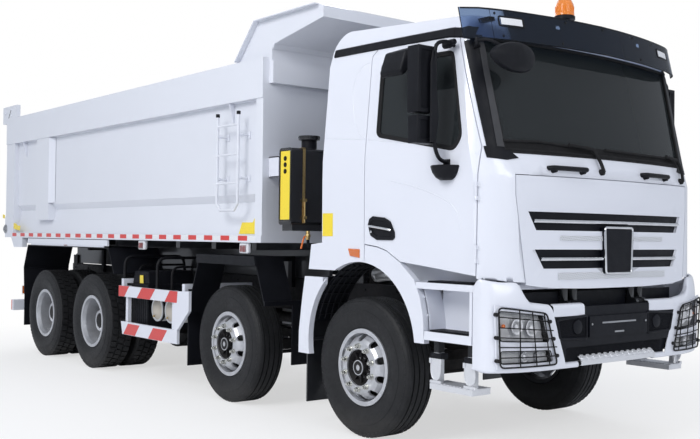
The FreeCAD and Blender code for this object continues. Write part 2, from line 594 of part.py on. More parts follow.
def nose_sweep():
    """What the cab's lower front edge sweeps over the bumper while the cab tilts."""
    radius = NOSE_BOTTOM - CAB_PIVOT.z - PANEL_GAP - 1
    low = CAB_PIVOT.z + radius * 0.3
    block = box(CAB_PIVOT.x, 1700, -BODY_HALF_W, BODY_HALF_W, low, NOSE_BOTTOM + 50)
    return block.cut(cyl_y(CAB_PIVOT.x, -BODY_HALF_W - 1, BODY_HALF_W + 1, CAB_PIVOT.z, radius))


def centre_half(z):
    """Half width of the bumper's black centre at one height."""
    return 588 + (z - 662) * 128 / 352


def make_bumper():
    """White bumper corners, black centre, lamps and their wire guards."""
    outer, inner = bumper_plan(0), bumper_plan(BUMPER_T)
    side = prism_z(outer[1:] + list(reversed(inner[1:])), BUMPER_BOTTOM, BUMPER_TOP)
    lamp_hole = prism_x([(704, 700), (826, 1085), (1190, 1085), (1170, 700)], 1300, 1600)
    side = side.cut(lamp_hole).cut(nose_sweep())
    arm = box(FRAME_FRONT_X - 36, FRAME_FRONT_X, RAIL_Y + SEAT_GAP, 1205, 1060, 1110)
    back_x = BUMPER_FRONT_X - BUMPER_T
    wing = prism_x([(385, 1100), (762, 1100), (762, BUMPER_BOTTOM), (450, BUMPER_BOTTOM), (450, 662), (centre_half(662), 662),
                    (centre_half(1014), 1014), (385, 1014)], back_x, BUMPER_FRONT_X)
    corner = fuse([side, arm, wing.cut(lamp_hole)])
    keep("bumper", both(corner))
    y_in = 728
    beam_top, beam_low = 1014 - SEAT_GAP, 800
    wide, narrow = centre_half(beam_top) - SEAT_GAP, centre_half(beam_low) - SEAT_GAP
    beam = prism_x([(-wide, beam_top), (wide, beam_top), (narrow, beam_low), (-narrow, beam_low)], back_x, BUMPER_FRONT_X)
    cover = box(back_x, BUMPER_FRONT_X, -385 + SEAT_GAP, 385 - SEAT_GAP, 1000, 1077)
    top = box(CAB_PIVOT.x - 60, CAB_PIVOT.x - 50, -900, 900, 1000, BUMPER_TOP - 4)
    back = box(CAB_PIVOT.x - 60, back_x, -y_in, y_in, 800, CAB_PIVOT.z - PIVOT_EYE_R - 12)
    slots = both(box(1300, back_x - 1, RAIL_Y - 110, RAIL_Y + 50, CAB_PIVOT.z - PIVOT_EYE_R - 11, NOSE_BOTTOM))
    foot = centre_half(665) - SEAT_GAP
    grille_low = prism_x([(-narrow, 800), (narrow, 800), (foot, 665), (-foot, 665)], back_x, BUMPER_FRONT_X - 20)
    plate = box(BUMPER_FRONT_X - 1, BUMPER_FRONT_X + 15, -345, 345, 858, 1005)
    hold = both(box(FRAME_FRONT_X + SEAT_GAP, 1381, RAIL_Y - RAIL_FLANGE, RAIL_Y, RAIL_BOTTOM + 5, 960))
    centre = fuse([beam, cover, top, back, grille_low, plate] + hold)
    keep("bumper_centre", [centre.cut(Part.makeCompound(slots))])
    plan = [(1485, 700), (1485, 765), (1473, 830), (1398, 1180), (1330, 1180), (1410, 765), (1410, 700)]
    lamp = prism_z(plan, 701, 1084).common(prism_x([(705, 701), (827, 1084), (1189, 1084), (1169, 701)], 1300, 1600))
    tail = both(box(-7420, -7400, 700, 1080, 700, 830))
    tail_arm = both(box(-7400, -7375, 640, 1000, 730, 780))
    tail_stay = both(box(-7400, FRAME_REAR_X + 60, RAIL_Y + SEAT_GAP, 650, 730, 870))
    lamps = both(lamp) + [fuse([a, b, c]) for a, b, c in zip(tail, tail_arm, tail_stay)]
    keep("lamps", lamps)


def make_step_treads():
    """Galvanised swing steps under both step boxes and the tread across the front."""
    hangers = [box(x0, x1, 1160, 1215, 505, STEP_LOW - 60 - SEAT_GAP) for x0, x1 in ((852, 900), (1180, 1228))]
    plate = box(834, 1290, 1060, 1235, 490, 530)
    side = fuse(hangers + [plate])
    tread = box(BUMPER_FRONT_X - 20 + SEAT_GAP, FRONT_X, -440, 440, 668, 700)
    keep("step_treads", both(side) + [tread])


def make_oil_tank():
    """Hydraulic oil tank on its stand behind the cab."""
    tank = box(-1030, -845, -GUARD_Y, -560, 1640, 2290)
    tank = tank.makeFillet(30, [e for e in tank.Edges if abs(e.tangentAt(e.FirstParameter).y) > 0.9])
    neck = cyl_z(-937, -1000, 2280, 2380, 60)
    cap = cyl_z(-937, -1000, 2370, 2405, 92)
    shelf = box(-1010, -865, -GUARD_Y + 25, -345, 1590, 1645)
    legs = [box(-1000, -880, -RAIL_Y, -RAIL_Y + 60, RAIL_TOP + SEAT_GAP, 1600)]
    keep("oil_tank", [fuse([tank, neck, cap, shelf] + legs)])


# ---- cab --------------------------------------------------------------------
def cab_section(station, inset):
    """Closed plan outline of the cab at one height, drawn in by inset."""
    z, half_w, side_x, corner_x, corner_y, nose_x = station
    half_w, side_x = half_w - inset, side_x - inset * 0.4
    corner_x, corner_y, nose_x = corner_x - inset * 0.9, corner_y - inset * 0.5, nose_x - inset
    rear_x = CAB_REAR_X + inset

    def corner(side):
        start, end = Vector(side_x, side * half_w, z), Vector(corner_x, side * corner_y, z)
        middle = (start + end) * 0.5 + Vector(20, side * 18, 0)
        return Part.Arc(start, middle, end).toShape() if side > 0 else Part.Arc(end, middle, start).toShape()
    nose = Part.Arc(Vector(corner_x, corner_y, z), Vector(nose_x, 0, z), Vector(corner_x, -corner_y, z)).toShape()
    left = Part.makeLine(Vector(rear_x, half_w, z), Vector(side_x, half_w, z))
    right = Part.makeLine(Vector(side_x, -half_w, z), Vector(rear_x, -half_w, z))
    rear = Part.makeLine(Vector(rear_x, -half_w, z), Vector(rear_x, half_w, z))
    return Part.Wire([left, corner(1), nose, corner(-1), right, rear])


def cab_skin(inset):
    """The cab's outer form drawn in by inset, before its underside and roof are cut."""
    return Part.makeLoft([cab_section(s, inset) for s in STATIONS], True, True)


def cab_side_view(inset, bottom):
    """The cab seen from the side: a prism that gives the roof line and the underside."""
    y = BODY_HALF_W + 100
    rear = CAB_REAR_X + inset
    roof = ROOF_TOP - inset

    def p(x, z):
        return Vector(x, -y, z)
    edges = [Part.makeLine(p(*a), p(*b)) for a, b in zip(bottom, bottom[1:])]
    edges.append(Part.makeLine(p(*bottom[-1]), p(1700, roof - 115)))
    edges.append(Part.makeLine(p(1700, roof - 115), p(940, roof - 85)))
    edges.append(Part.makeLine(p(940, roof - 85), p(-230, roof)))
    edges.append(Part.Arc(p(-230, roof), p(rear + 45, roof - 55), p(rear, roof - 190)).toShape())
    edges.append(Part.makeLine(p(rear, roof - 190), p(*bottom[0])))
    return Part.Face(Part.Wire(edges)).extrude(Vector(0, 2 * y, 0))


def door_outline(gap):
    """Side view of the right door, grown by gap on its rear, top and front edges."""
    rear, front, top = DOOR_REAR_X - gap, DOOR_FRONT_X + gap, DOOR_TOP_Z + gap
    return [(rear, 1200), (rear, top - 60), (rear + 60, top), (1030 + gap, top - 25), (front, 2160), (front, 1200)]


DOOR_WINDOW = ((235, 2305), (235, 2830), (270, 2862), (985, 2842), (1120, 2235), (1055, 2150))
# Grille slots: top, bottom, half width at the top and at the bottom.
GRILLE_BAR_HALF = 14
GRILLE_SLOTS = ((1732, 1605, 905, 835), (1474, 1342, 850, 770))
WINDSCREEN_BOTTOM = 2150.0
WINDSCREEN_TOP = 2925.0


def screen_prism(grow):
    """The windscreen opening, seen from the front."""
    top, low = WINDSCREEN_TOP + grow, WINDSCREEN_BOTTOM - grow
    outline = [(-1040 - grow, low), (1040 + grow, low), (1075 + grow, top), (-1075 - grow, top)]
    return prism_x(outline, 1000, 1700)


def flap_prism(gap):
    """The front panel's region, seen from the front."""
    top, low, half_top, half_low = FLAP_TOP + gap, NOSE_BOTTOM - 20, 1008 + gap, 925 + gap
    return prism_x([(-half_low, low), (half_low, low), (half_top, FLAP_STRAIGHT_Z), (half_top, top),
                    (-half_top, top), (-half_top, FLAP_STRAIGHT_Z)], 1250, 1700)


HINGE_Z = (1440.0, 1860.0)
HINGE_LUG_H = 30.0
HINGE_KNUCKLE_H = 60.0


def door_hinges():
    """Left door hinges: lugs and pins on the cab, and bored knuckles on the door."""
    x, y = DOOR_AXIS.x, DOOR_AXIS.y
    lugs, knuckles = [], []
    for z in HINGE_Z:
        half = HINGE_KNUCKLE_H / 2
        for z0 in (z - half - HINGE_LUG_H - 1, z + half + 1):
            lugs.append(cyl_z(x, y, z0, z0 + HINGE_LUG_H, HINGE_R))
            lugs.append(box(x, x + 14, y - 30, y - 6, z0, z0 + HINGE_LUG_H))
        lugs.append(cyl_z(x, y, z - half - 5, z + half + 5, HINGE_PIN_R))
        knuckles.append(cyl_z(x, y, z - half, z + half, HINGE_R))
        knuckles.append(box(x - 60, x, y - 30, y - 4, z - half, z + half))
    return fuse(lugs), fuse(knuckles)


def door_knuckle_room():
    """The space that the door's knuckles sweep in the front pillar."""
    x, y = DOOR_AXIS.x, DOOR_AXIS.y
    half = HINGE_KNUCKLE_H / 2 + 1
    return Part.makeCompound([cyl_z(x, y, z - half, z + half, HINGE_R + 3) for z in HINGE_Z])


def door_lug_room():
    """The space that the cab's lugs need in the door's front edge."""
    x, y = DOOR_AXIS.x, DOOR_AXIS.y
    half = HINGE_KNUCKLE_H / 2
    rooms = []
    for z in HINGE_Z:
        for z0 in (z - half - HINGE_LUG_H - 4, z + half):
            rooms.append(cyl_z(x, y, z0, z0 + HINGE_LUG_H + 4, HINGE_R + 4))
    return Part.makeCompound(rooms)


BUFFER_Y = 700.0


def make_cab():
    """Cab shell, doors, glass, front panel and grille, all cut from one form."""
    outer = cab_skin(0).common(cab_side_view(0, CAB_BOTTOM))
    lift = CAB_WALL
    inner_bottom = [(CAB_REAR_X + lift, SILL[0][1] + lift)] + [(x, z + lift) for x, z in SILL[1:7]]
    inner_bottom += [(DOOR_FRONT_X - 20, SILL[7][1] + lift), (1700, SILL[7][1] + lift)]
    cavity = cab_skin(CAB_WALL).common(cab_side_view(CAB_WALL, inner_bottom))
    cavity = cavity.cut(box(FIREWALL_X, 1700, -1300, 1300, 1100, 2080))
    shell = outer.cut(cavity)
    screen_cut = screen_prism(0).common(outer)
    shell = shell.cut(screen_cut)
    slab = BODY_HALF_W + 50
    door_cut = prism_y(door_outline(PANEL_GAP), 1000, slab).cut(cab_skin(DOOR_T + PANEL_GAP))
    shell = shell.cut(Part.makeCompound(both(door_cut)))
    flap_cut = flap_prism(PANEL_GAP).cut(cab_skin(FLAP_T + 15))
    shell = shell.cut(flap_cut)
    wing = prism_y([(-590, 1280), (-560, 1480), (CAB_REAR_X, 1496), (DOOR_REAR_X, 1496), (DOOR_REAR_X, 1280)],
                   1195, 1245).cut(cyl_y(ARCH_X, 1190, 1250, ARCH_Z, ARCH_R))
    wing_floor = box(CAB_REAR_X, DOOR_REAR_X, 1100, 1200, 1470, 1496)
    legs = []
    for y0, y1 in ((RAIL_Y - 100, RAIL_Y - 65), (RAIL_Y + 5, RAIL_Y + 40)):
        arm = prism_y([(CAB_PIVOT.x - PIVOT_EYE_R, CAB_PIVOT.z), (CAB_PIVOT.x - 45, NOSE_BOTTOM + 25),
                       (CAB_PIVOT.x - 5, NOSE_BOTTOM + 25), (CAB_PIVOT.x - 5, CAB_PIVOT.z)], y0, y1)
        legs += both(arm) + both(cyl_y(CAB_PIVOT.x, y0, y1, CAB_PIVOT.z, PIVOT_EYE_R))
    pins = both(cyl_y(CAB_PIVOT.x, RAIL_Y - 100, RAIL_Y + 40, CAB_PIVOT.z, BED_PIN_R))
    door_lugs, door_knuckles = door_hinges()
    room = Part.makeCompound(both(door_knuckle_room()))
    buffers = both(cyl_x(FIREWALL_X, 1600, BUFFER_Y, NOSE_BOTTOM + 90, 22).common(cab_skin(FLAP_T + SEAT_GAP)))
    shell = fuse([shell.cut(room)] + both(wing) + both(wing_floor) + legs + pins + both(door_lugs) + buffers)
    rear_light = prism_x([(-620, 2330), (620, 2330), (620, 2780), (-620, 2780)], -500, -300)
    keep("cab_shell", [shell.cut(rear_light)])

    pane = cab_skin(GLASS_INSET).cut(cab_skin(GLASS_INSET + GLASS_T))
    front_glass = pane.common(screen_prism(0))
    rear_glass = rear_light.common(box(CAB_REAR_X + 15, CAB_REAR_X + 21, -700, 700, 2200, 2900))
    keep("cab_glass", [front_glass, rear_glass])

    door_form = outer.cut(cab_skin(DOOR_T)).common(prism_y(door_outline(0), 1000, slab))
    window = prism_y(DOOR_WINDOW, 900, slab + 100)
    hollow = cab_skin(18).cut(cab_skin(DOOR_T - 12)).common(
        prism_y([(150, 1520), (150, 2240), (1200, 2110), (1225, 1400), (560, 1420)], 900, slab))
    toe_room = box(1190, DOOR_FRONT_X + 20, 1000, DOOR_AXIS.y - DOOR_T + 2, NOSE_BOTTOM, SILL[7][1] + CAB_WALL + 10)
    left_door = door_form.cut(window).cut(hollow).cut(toe_room)
    left_door = fuse([left_door.cut(door_lug_room()), door_knuckles])
    left_door = left_door.cut(cyl_z(DOOR_AXIS.x, DOOR_AXIS.y, NOSE_BOTTOM, FLAP_TOP, HINGE_PIN_R + SHAFT_FIT))
    left_glass = pane.common(window)
    for side, door, glass in (("left", left_door, left_glass), ("right", mirrored(left_door), mirrored(left_glass))):
        keep("door_" + side, [door])
        keep("door_glass_" + side, [glass])

    flap = flap_prism(0).common(outer).cut(cab_skin(FLAP_T))
    slots = []
    for top, low, half_top, half_low in GRILLE_SLOTS:
        slots.append(prism_x([(-half_top, top), (half_top, top), (half_low, low), (-half_low, low)], 1200, 1700))
    pocket = Part.makeCompound(slots)
    depth = pocket.cut(cab_skin(30))
    panel = flap.cut(depth).cut(box(1440, 1508, -165, 165, 1304, 1632).cut(cab_skin(30)))
    keep("front_panel", [panel])
    bars = []
    for top, low, half_top, half_low in GRILLE_SLOTS:
        mid, half = (top + low) / 2, (half_top + half_low) / 2
        slant = (half_top - half_low) / (top - low) * GRILLE_BAR_HALF
        bars.append(prism_x([(-half + slant, mid - GRILLE_BAR_HALF), (half - slant, mid - GRILLE_BAR_HALF),
                             (half + slant, mid + GRILLE_BAR_HALF), (-half - slant, mid + GRILLE_BAR_HALF)], 1200, 1700))
    core = pocket.common(cab_skin(22)).cut(cab_skin(30 - SEAT_GAP))
    plaque = box(1440, 1508, -165, 165, 1304, 1632).cut(cab_skin(30 - SEAT_GAP))
    bar = Part.makeCompound(bars).common(cab_skin(-2)).cut(cab_skin(23))
    keep("grille", [fuse([core, plaque, bar])])


def visor_edge(dx, z, inset):
    """Plan curve of the visor at one height."""
    return [Vector(1100 + dx, 1238 - inset, z), Vector(1190 + dx - inset, 1130 - inset, z),
            Vector(1268 + dx - inset, 900, z), Vector(1345 + dx - inset, 450, z), Vector(1372 + dx - inset, 0, z),
            Vector(1345 + dx - inset, -450, z), Vector(1268 + dx - inset, -900, z),
            Vector(1190 + dx - inset, -(1130 - inset), z), Vector(1100 + dx, -(1238 - inset), z)]


def visor_fill(dx, z):
    """The plan area behind the visor's middle line."""
    spline = Part.BSplineCurve()
    points = visor_edge(dx, z, 5)
    spline.interpolate(points)
    back = [points[-1], Vector(850, points[-1].y, z), Vector(850, points[0].y, z), points[0]]
    return Part.Wire([spline.toShape()] + [Part.makeLine(a, b) for a, b in zip(back, back[1:])])


def visor_section(dx, z):
    """A thin crescent: the outer curve, the inner curve and two short ends."""
    def curve(points):
        spline = Part.BSplineCurve()
        spline.interpolate(points)
        return spline.toShape()
    outer, inner = visor_edge(dx, z, 0), visor_edge(dx, z, 10)
    return Part.Wire([curve(outer), Part.makeLine(outer[-1], inner[-1]), curve(list(reversed(inner))),
                      Part.makeLine(inner[0], outer[0])])


BEACON_X = 1000.0
BEACON_Z = 3234.0
BEACON_R = 82.0
FRONT_MIRROR_Y = -1060.0


def make_cab_outside():
    """Sun visor, beacon, mirrors."""
    blade = Part.makeLoft([visor_section(30, 2905), visor_section(-25, 3128)], True, True)
    struts = Part.makeCompound([box(850, 1500, y - 20, y + 20, 3040, 3070) for y in (-1040, -480, 480, 1040)])
    behind = Part.makeLoft([visor_fill(30, 2905), visor_fill(-25, 3128)], True, True)
    struts = struts.common(behind).cut(cab_skin(0).common(cab_side_view(-SEAT_GAP, CAB_BOTTOM)))
    keep("visor", [fuse([blade] + struts.Solids)])
    pedestal = cyl_z(BEACON_X, 0, ROOF_TOP - 100, BEACON_Z, 45).cut(cab_skin(0).common(
        cab_side_view(-SEAT_GAP, CAB_BOTTOM)))
    base = cyl_z(BEACON_X, 0, BEACON_Z, BEACON_Z + 30, BEACON_R)
    dome = cyl_z(BEACON_X, 0, BEACON_Z + 30, BEACON_Z + 130, BEACON_R - 6)
    cap = Part.makeSphere(BEACON_R - 6, Vector(BEACON_X, 0, BEACON_Z + 110))
    keep("beacon", [fuse([pedestal, base, dome, cap])])

    head = box(880, 990, 1350, 1520, 2395, 2850)
    small = box(890, 985, 1350, 1520, 2185, 2375)
    arm = bent_rod([Vector(1000, 1185, 2880), Vector(1020, 1290, 2900), Vector(1005, 1380, 2870),
                    Vector(1005, 1380, 2170), Vector(1000, 1330, 2080), Vector(995, 1225, 2066)], 14)
    bowl = Part.makeCone(60, 120, 105, Vector(995, 1240, 1940))
    feet = [box(960, 1030, 1180, 1235, 2035, 2095), box(975, 1030, 1160, 1200, 2850, 2900), bowl]
    kerb = prism_x([(1215, 2870), (1230, 2925), (1420, 2860), (1475, 2700), (1440, 2670), (1300, 2800)], 520, 760)
    kerb_arm = rod(Vector(700, 1180, 2905), Vector(660, 1290, 2860), 14)
    neck = box(985, 1010, 1360, 1400, 2400, 2900)
    neck_2 = box(975, 1010, 1360, 1400, 2200, 2360)
    form = cab_skin(0)
    left = fuse([head, small, arm, kerb, kerb_arm, neck, neck_2] + [f.cut(form) for f in feet]).cut(form)
    keep("mirrors_left", [left])
    keep("mirrors_right", [mirrored(left)])
    y = FRONT_MIRROR_Y
    dish = fuse([cyl_x(1405, 1465, y - 115, 2760, 98), cyl_x(1405, 1465, y + 115, 2760, 98),
                 box(1405, 1465, y - 115, y + 115, 2662, 2858)])
    dish = dish.makeFillet(24, [e for e in dish.Edges if e.CenterOfMass.x > 1460])
    stalk = bent_rod([Vector(1100, y - 60, 2850), Vector(1230, y - 170, 2870), Vector(1330, y - 160, 2872),
                      Vector(1395, y - 90, 2830), Vector(1415, y - 60, 2790)], 11).cut(form)
    keep("front_mirror", [fuse([dish, stalk])])


def make_interior():
    """Dashboard, steering wheel, seats and engine cover inside the cab."""
    floor = SILL[0][1] + CAB_WALL
    dash = prism_y([(1020, 1500), (900, 2020), (960, 2120), (1240, 2150), (1335, 2050), (1335, 1500)], -1020, 1020)
    dash = dash.common(cab_skin(CAB_WALL + DOOR_T))
    column = rod(Vector(960, 620, 2030), Vector(800, 620, 2190), 30)
    ring = Part.makeTorus(225, 16, Vector(795, 620, 2195), Vector(-0.7, 0, 0.7))
    spoke = rod(Vector(795 + 155, 620, 2195 + 155), Vector(795 - 155, 620, 2195 - 155), 14)
    cross = cyl_y(795, 620 - 220, 620 + 220, 2195, 14)
    seats = []
    for y in (620.0, -620.0):
        base = box(0, 420, y - 200, y + 200, floor, floor + 330)
        cushion = box(-20, 470, y - 260, y + 260, floor + 320, floor + 450)
        back = prism_y([(-120, floor + 400), (-230, 2600), (-110, 2620), (20, floor + 420)], y - 250, y + 250)
        seats.append(fuse([base, cushion, back]))
    cover = prism_y([(CAB_REAR_X + CAB_WALL, floor), (CAB_REAR_X + CAB_WALL, 1800), (860, 1780), (860, floor)], -300, 300)
    foot = prism_y([(850, floor), (850, 1790), (1025, 1790), (1025, 1500), (930, 1500)], -300, 300)
    bunk = box(CAB_REAR_X + CAB_WALL, -240, -1080, 1080, 1700, 1900)
    parts = [fuse([dash, column, ring, spoke, cross, cover, foot, bunk] + seats)]
    keep("cab_interior", parts)


# ---- bed --------------------------------------------------------------------
def side_wall():
    """Left side wall: top rail, folded wall and lower flange in one section."""
    t = BED_WALL_T
    outline = [(BODY_HALF_W, BED_RAIL_TOP), (BODY_HALF_W, BED_RAIL_BOTTOM), (BED_WALL_Y, BED_RAIL_BOTTOM),
               (BED_WALL_Y, BED_FOLD_TOP), (BED_FOLD_Y, BED_FOLD_BOTTOM), (BED_WALL_Y + 10, BED_SKIRT_TOP),
               (BODY_HALF_W, BED_SKIRT_TOP - 5), (BODY_HALF_W, BED_BOTTOM), (BED_FOLD_Y - t, BED_BOTTOM),
               (BED_FOLD_Y - t, BED_FOLD_BOTTOM + 5), (BED_WALL_Y - t, BED_FOLD_TOP + 5),
               (BED_WALL_Y - t, BED_RAIL_BOTTOM), (BODY_HALF_W - BED_RAIL_W, BED_RAIL_TOP)]
    return prism_x(outline, BED_REAR_X + TAILGATE_T + MOVE_GAP, BED_FRONT_X)


def canopy_plate():
    """Side plate of the canopy that shields the cab."""
    rail, top = BED_RAIL_TOP, CANOPY_TOP
    outline = [(-1788, rail), (-1788, rail + 21), (-1472, top), (-577, top), (-517, top - 23), (-512, top - 118),
               (-1215, rail + 118), (-1250, rail + 80), (-1251, rail - 30), (-1400, rail - 30), (-1400, rail)]
    return prism_y(outline, BED_WALL_Y - 8, BED_WALL_Y + 2)


def load_space():
    """The room between the bed's walls."""
    low, high = BED_FOLD_Y - BED_WALL_T, BED_WALL_Y - BED_WALL_T
    outline = [(-low, BED_BOTTOM), (low, BED_BOTTOM), (low, BED_FOLD_BOTTOM), (high, BED_FOLD_TOP), (high, BED_RAIL_TOP),
               (-high, BED_RAIL_TOP), (-high, BED_FOLD_TOP), (-low, BED_FOLD_BOTTOM)]
    return prism_x(outline, BED_REAR_X, BED_FRONT_X)


def hoist_recess(grow):
    """The wedge in the front of the bed that the leaning hoist needs."""
    front, foot = BED_FRONT_X + 1, BED_FRONT_X - HOIST_RECESS - grow
    outline = [(front, BED_BOTTOM - 80), (front, HOIST_EYE_Z - 200 + grow), (BED_FRONT_X - 20, HOIST_EYE_Z - 200 + grow),
               (foot, BED_BOTTOM + 40), (foot, BED_BOTTOM - 80)]
    half = HOIST_BARREL_R + 50 + grow
    return prism_y(outline, -half, half)


def make_bed():
    """Open-top bed with floor, front wall, canopy, posts, beams and ladder."""
    floor_rear = BED_REAR_X + TAILGATE_T + MOVE_GAP
    inner_y = BED_FOLD_Y - BED_WALL_T
    floor = box(floor_rear, BED_FRONT_X, -inner_y - 5, inner_y + 5, BED_BOTTOM, BED_BOTTOM + BED_FLOOR_T)
    front = box(BED_FRONT_X - 14, BED_FRONT_X, -BED_WALL_Y, BED_WALL_Y, BED_BOTTOM, BED_RAIL_TOP)
    band = box(BED_FRONT_X, BED_FRONT_X + 60, -BED_WALL_Y, BED_WALL_Y, BED_RAIL_TOP - 225, BED_RAIL_TOP - 25)
    pieces = [floor, front, band] + both(side_wall()) + both(canopy_plate())
    rail, top = BED_RAIL_TOP, CANOPY_TOP
    roof = [(-1472, top), (-577, top), (-577, top - CANOPY_T), (-1469, top - CANOPY_T)]
    slope = [(-1788, rail + 21), (-1472, top), (-1466, top - CANOPY_T), (-1780, rail + 15)]
    under = [(-1250, rail + 78), (-1215, rail + 126), (-520, top - 111), (-512, top - 118), (-1215, rail + 112),
             (-1240, rail + 70)]
    nose = [(-577, top), (CANOPY_FRONT_X, top - 23), (CANOPY_FRONT_X, top - 118), (CANOPY_FRONT_X - 10, top - 118),
            (CANOPY_FRONT_X - 10, top - 30), (-579, top - 10)]
    lip = BED_WALL_Y + 55
    pieces += [prism_y(roof, -lip, lip), prism_y(nose, -BED_WALL_Y, BED_WALL_Y)]
    pieces += [prism_y(under, -BED_WALL_Y, BED_WALL_Y)]
    pieces += both(prism_y(slope, BED_WALL_Y - 8, lip))
    riser = box(-1262, -1250, -BED_WALL_Y, BED_WALL_Y, rail - 30, rail + 85)
    tie = box(-1290, -1250, -BED_WALL_Y, BED_WALL_Y, rail - 30, rail - 20)
    pieces += [riser, tie]
    posts = []
    for x0, x1, z0 in ((-6540, -6130, 1714), (-7630, -7330, 1735)):
        posts.append(box(x0, x1, BED_FOLD_Y - BED_WALL_T, BODY_HALF_W - 8, z0, BED_RAIL_BOTTOM))
    posts.append(box(-1400, BED_FRONT_X, BED_FOLD_Y - BED_WALL_T, BODY_HALF_W - 8, BED_BOTTOM, BED_RAIL_BOTTOM))
    rear_foot = prism_y([(-7630, 1763), (-7280, 1353), (-6983, 1358), (-6983, BED_BOTTOM), (-7330, BED_BOTTOM), (-7330, 1763)],
                        BED_WALL_Y, BODY_HALF_W)
    rear_web = prism_y([(-7630, BED_BOTTOM), (-7630, 1763), (-7330, 1763), (-7330, BED_BOTTOM)],
                       BED_FOLD_Y - BED_WALL_T, BODY_HALF_W)
    ear = box(BED_REAR_X, -7260, 1200, BODY_HALF_W, BED_RAIL_TOP - 60, GATE_PIN.z + 75)
    posts += [rear_foot, rear_web, ear]
    ear_cut = cyl_y(GATE_PIN.x, 1150, 1300, GATE_PIN.z, GATE_PIN_R + SHAFT_FIT)
    load = load_space()
    for post in posts:
        pieces += both(post.cut(load))
    y0 = RAIL_Y - RAIL_FLANGE + 20
    beam = box(BED_PIN.x, BED_FRONT_X - 110, y0, y0 + BED_BEAM_W - 10, BED_BEAM_BOTTOM, BED_BOTTOM)
    knob = cyl_y(BED_PIN.x, y0, y0 + BED_BEAM_W - 10, BED_PIN.z, BED_PIN.z - BED_BEAM_BOTTOM)
    pieces += both(beam) + both(knob)
    for i in range(9):
        x = BED_FRONT_X - 300 - i * 700
        pieces.append(box(x - 40, x + 40, -BED_WALL_Y + 60, BED_WALL_Y - 60, BED_BOTTOM - 70, BED_BOTTOM))
    eye_x = HOIST_FOOT.x
    for clevis in both(box(BED_FRONT_X, eye_x + 60, 78, 108, HOIST_EYE_Z - 120, HOIST_EYE_Z + 120)):
        pieces.append(clevis)
    skin = hoist_recess(10).common(load_space())
    solid = fuse(pieces + [skin]).cut(hoist_recess(0))
    bores = [ear_cut, mirrored(ear_cut), cyl_y(BED_PIN.x, -RAIL_Y, RAIL_Y, BED_PIN.z, BED_PIN_R + SHAFT_FIT)]
    bores.append(cyl_y(eye_x, -120, 120, HOIST_EYE_Z, BED_PIN_R))
    solid = solid.cut(Part.makeCompound(bores))
    keep("bed", [fuse([solid] + ladder())])


def ladder():
    """Ladder on the right side wall, held by four stand-offs."""
    y, r = -(BODY_HALF_W + 45), 14.0
    x0, x1, low, high = -1960.0, -1605.0, 1774.0, 2637.0
    loop = bent_rod([Vector(x0, y, high), Vector(x0, y, low + 60), Vector(x0 + 60, y, low), Vector(x1 - 60, y, low),
                     Vector(x1, y, low + 60), Vector(x1, y, high)], r)
    rungs = [cyl_x(x0, x1, y, z, 11) for z in (2544, 2276, 2018)]
    stand = [cyl_y(x, y, -BED_WALL_Y + 5, z, 9) for x in (x0, x1) for z in (2450, 2060)]
    return [fuse([loop] + rungs + stand)]


def make_tailgate():
    """Top-hung tailgate with ribs and two pins."""
    x1 = BED_REAR_X + TAILGATE_T
    half = BED_WALL_Y - 20
    top = BED_RAIL_TOP - 20
    skin = box(x1 - 14, x1, -half, half, 1500, top)
    frame = [box(BED_REAR_X + 10, x1, y0, y1, 1500, top) for y0, y1 in ((-half, -half + 110), (half - 110, half))]
    ribs = [box(BED_REAR_X + 20, x1, -half, half, z, z + 110) for z in (1500, 2000, 2500, top - 110)]
    arms = []
    for side in (1, -1):
        lo, hi = sorted((side * (half - 60), side * half))
        arms.append(box(GATE_PIN.x - 35, GATE_PIN.x + 35, lo, hi, top - 90, GATE_PIN.z))
        arms.append(cyl_y(GATE_PIN.x, lo, hi, GATE_PIN.z, 35))
        lo, hi = sorted((side * (half - 10), side * (BODY_HALF_W - 5)))
        arms.append(cyl_y(GATE_PIN.x, lo, hi, GATE_PIN.z, GATE_PIN_R))
    keep("tailgate", [fuse([skin] + frame + ribs + arms)])


def make_hoist():
    """Telescopic hoist: a barrel on its trunnion and three nested stages."""
    x, foot = HOIST_FOOT.x, HOIST_FOOT.z
    top = HOIST_EYE_Z - 150
    r = HOIST_BARREL_R
    barrel = cyl_z(x, 0, foot - 50, top, r).cut(cyl_z(x, 0, foot + 60, top + 1, r - HOIST_WALL))
    collar = cyl_z(x, 0, top - 60, top, r + 3).cut(cyl_z(x, 0, top - 70, top + 1, r - HOIST_WALL))
    pins = both(cyl_y(x, r - 12, r + MOVE_GAP + 24, foot, BED_PIN_R))
    keep("hoist_barrel", [fuse([barrel, collar] + pins)])
    for stage in range(1, HOIST_STAGES + 1):
        r -= HOIST_STEP
        low, high = foot + 70 + 12 * stage, top + 15 * stage
        guide = cyl_z(x, 0, low, low + 40, r + HOIST_STEP - HOIST_WALL - SHAFT_FIT)
        tube = fuse([cyl_z(x, 0, low, high, r), guide])
        if stage < HOIST_STAGES:
            tube = tube.cut(cyl_z(x, 0, low + 4, high + 1, r - HOIST_WALL))
        else:
            eye = cyl_y(x, -60, 60, HOIST_EYE_Z, 62).common(box(x - 80, x + 80, -60, 60, 0, 9999))
            neck = cyl_z(x, 0, high - 5, HOIST_EYE_Z, 50)
            tube = fuse([tube, neck, eye]).cut(cyl_y(x, -70, 70, HOIST_EYE_Z, BED_PIN_R))
        keep("hoist_stage_%d" % stage, [tube])


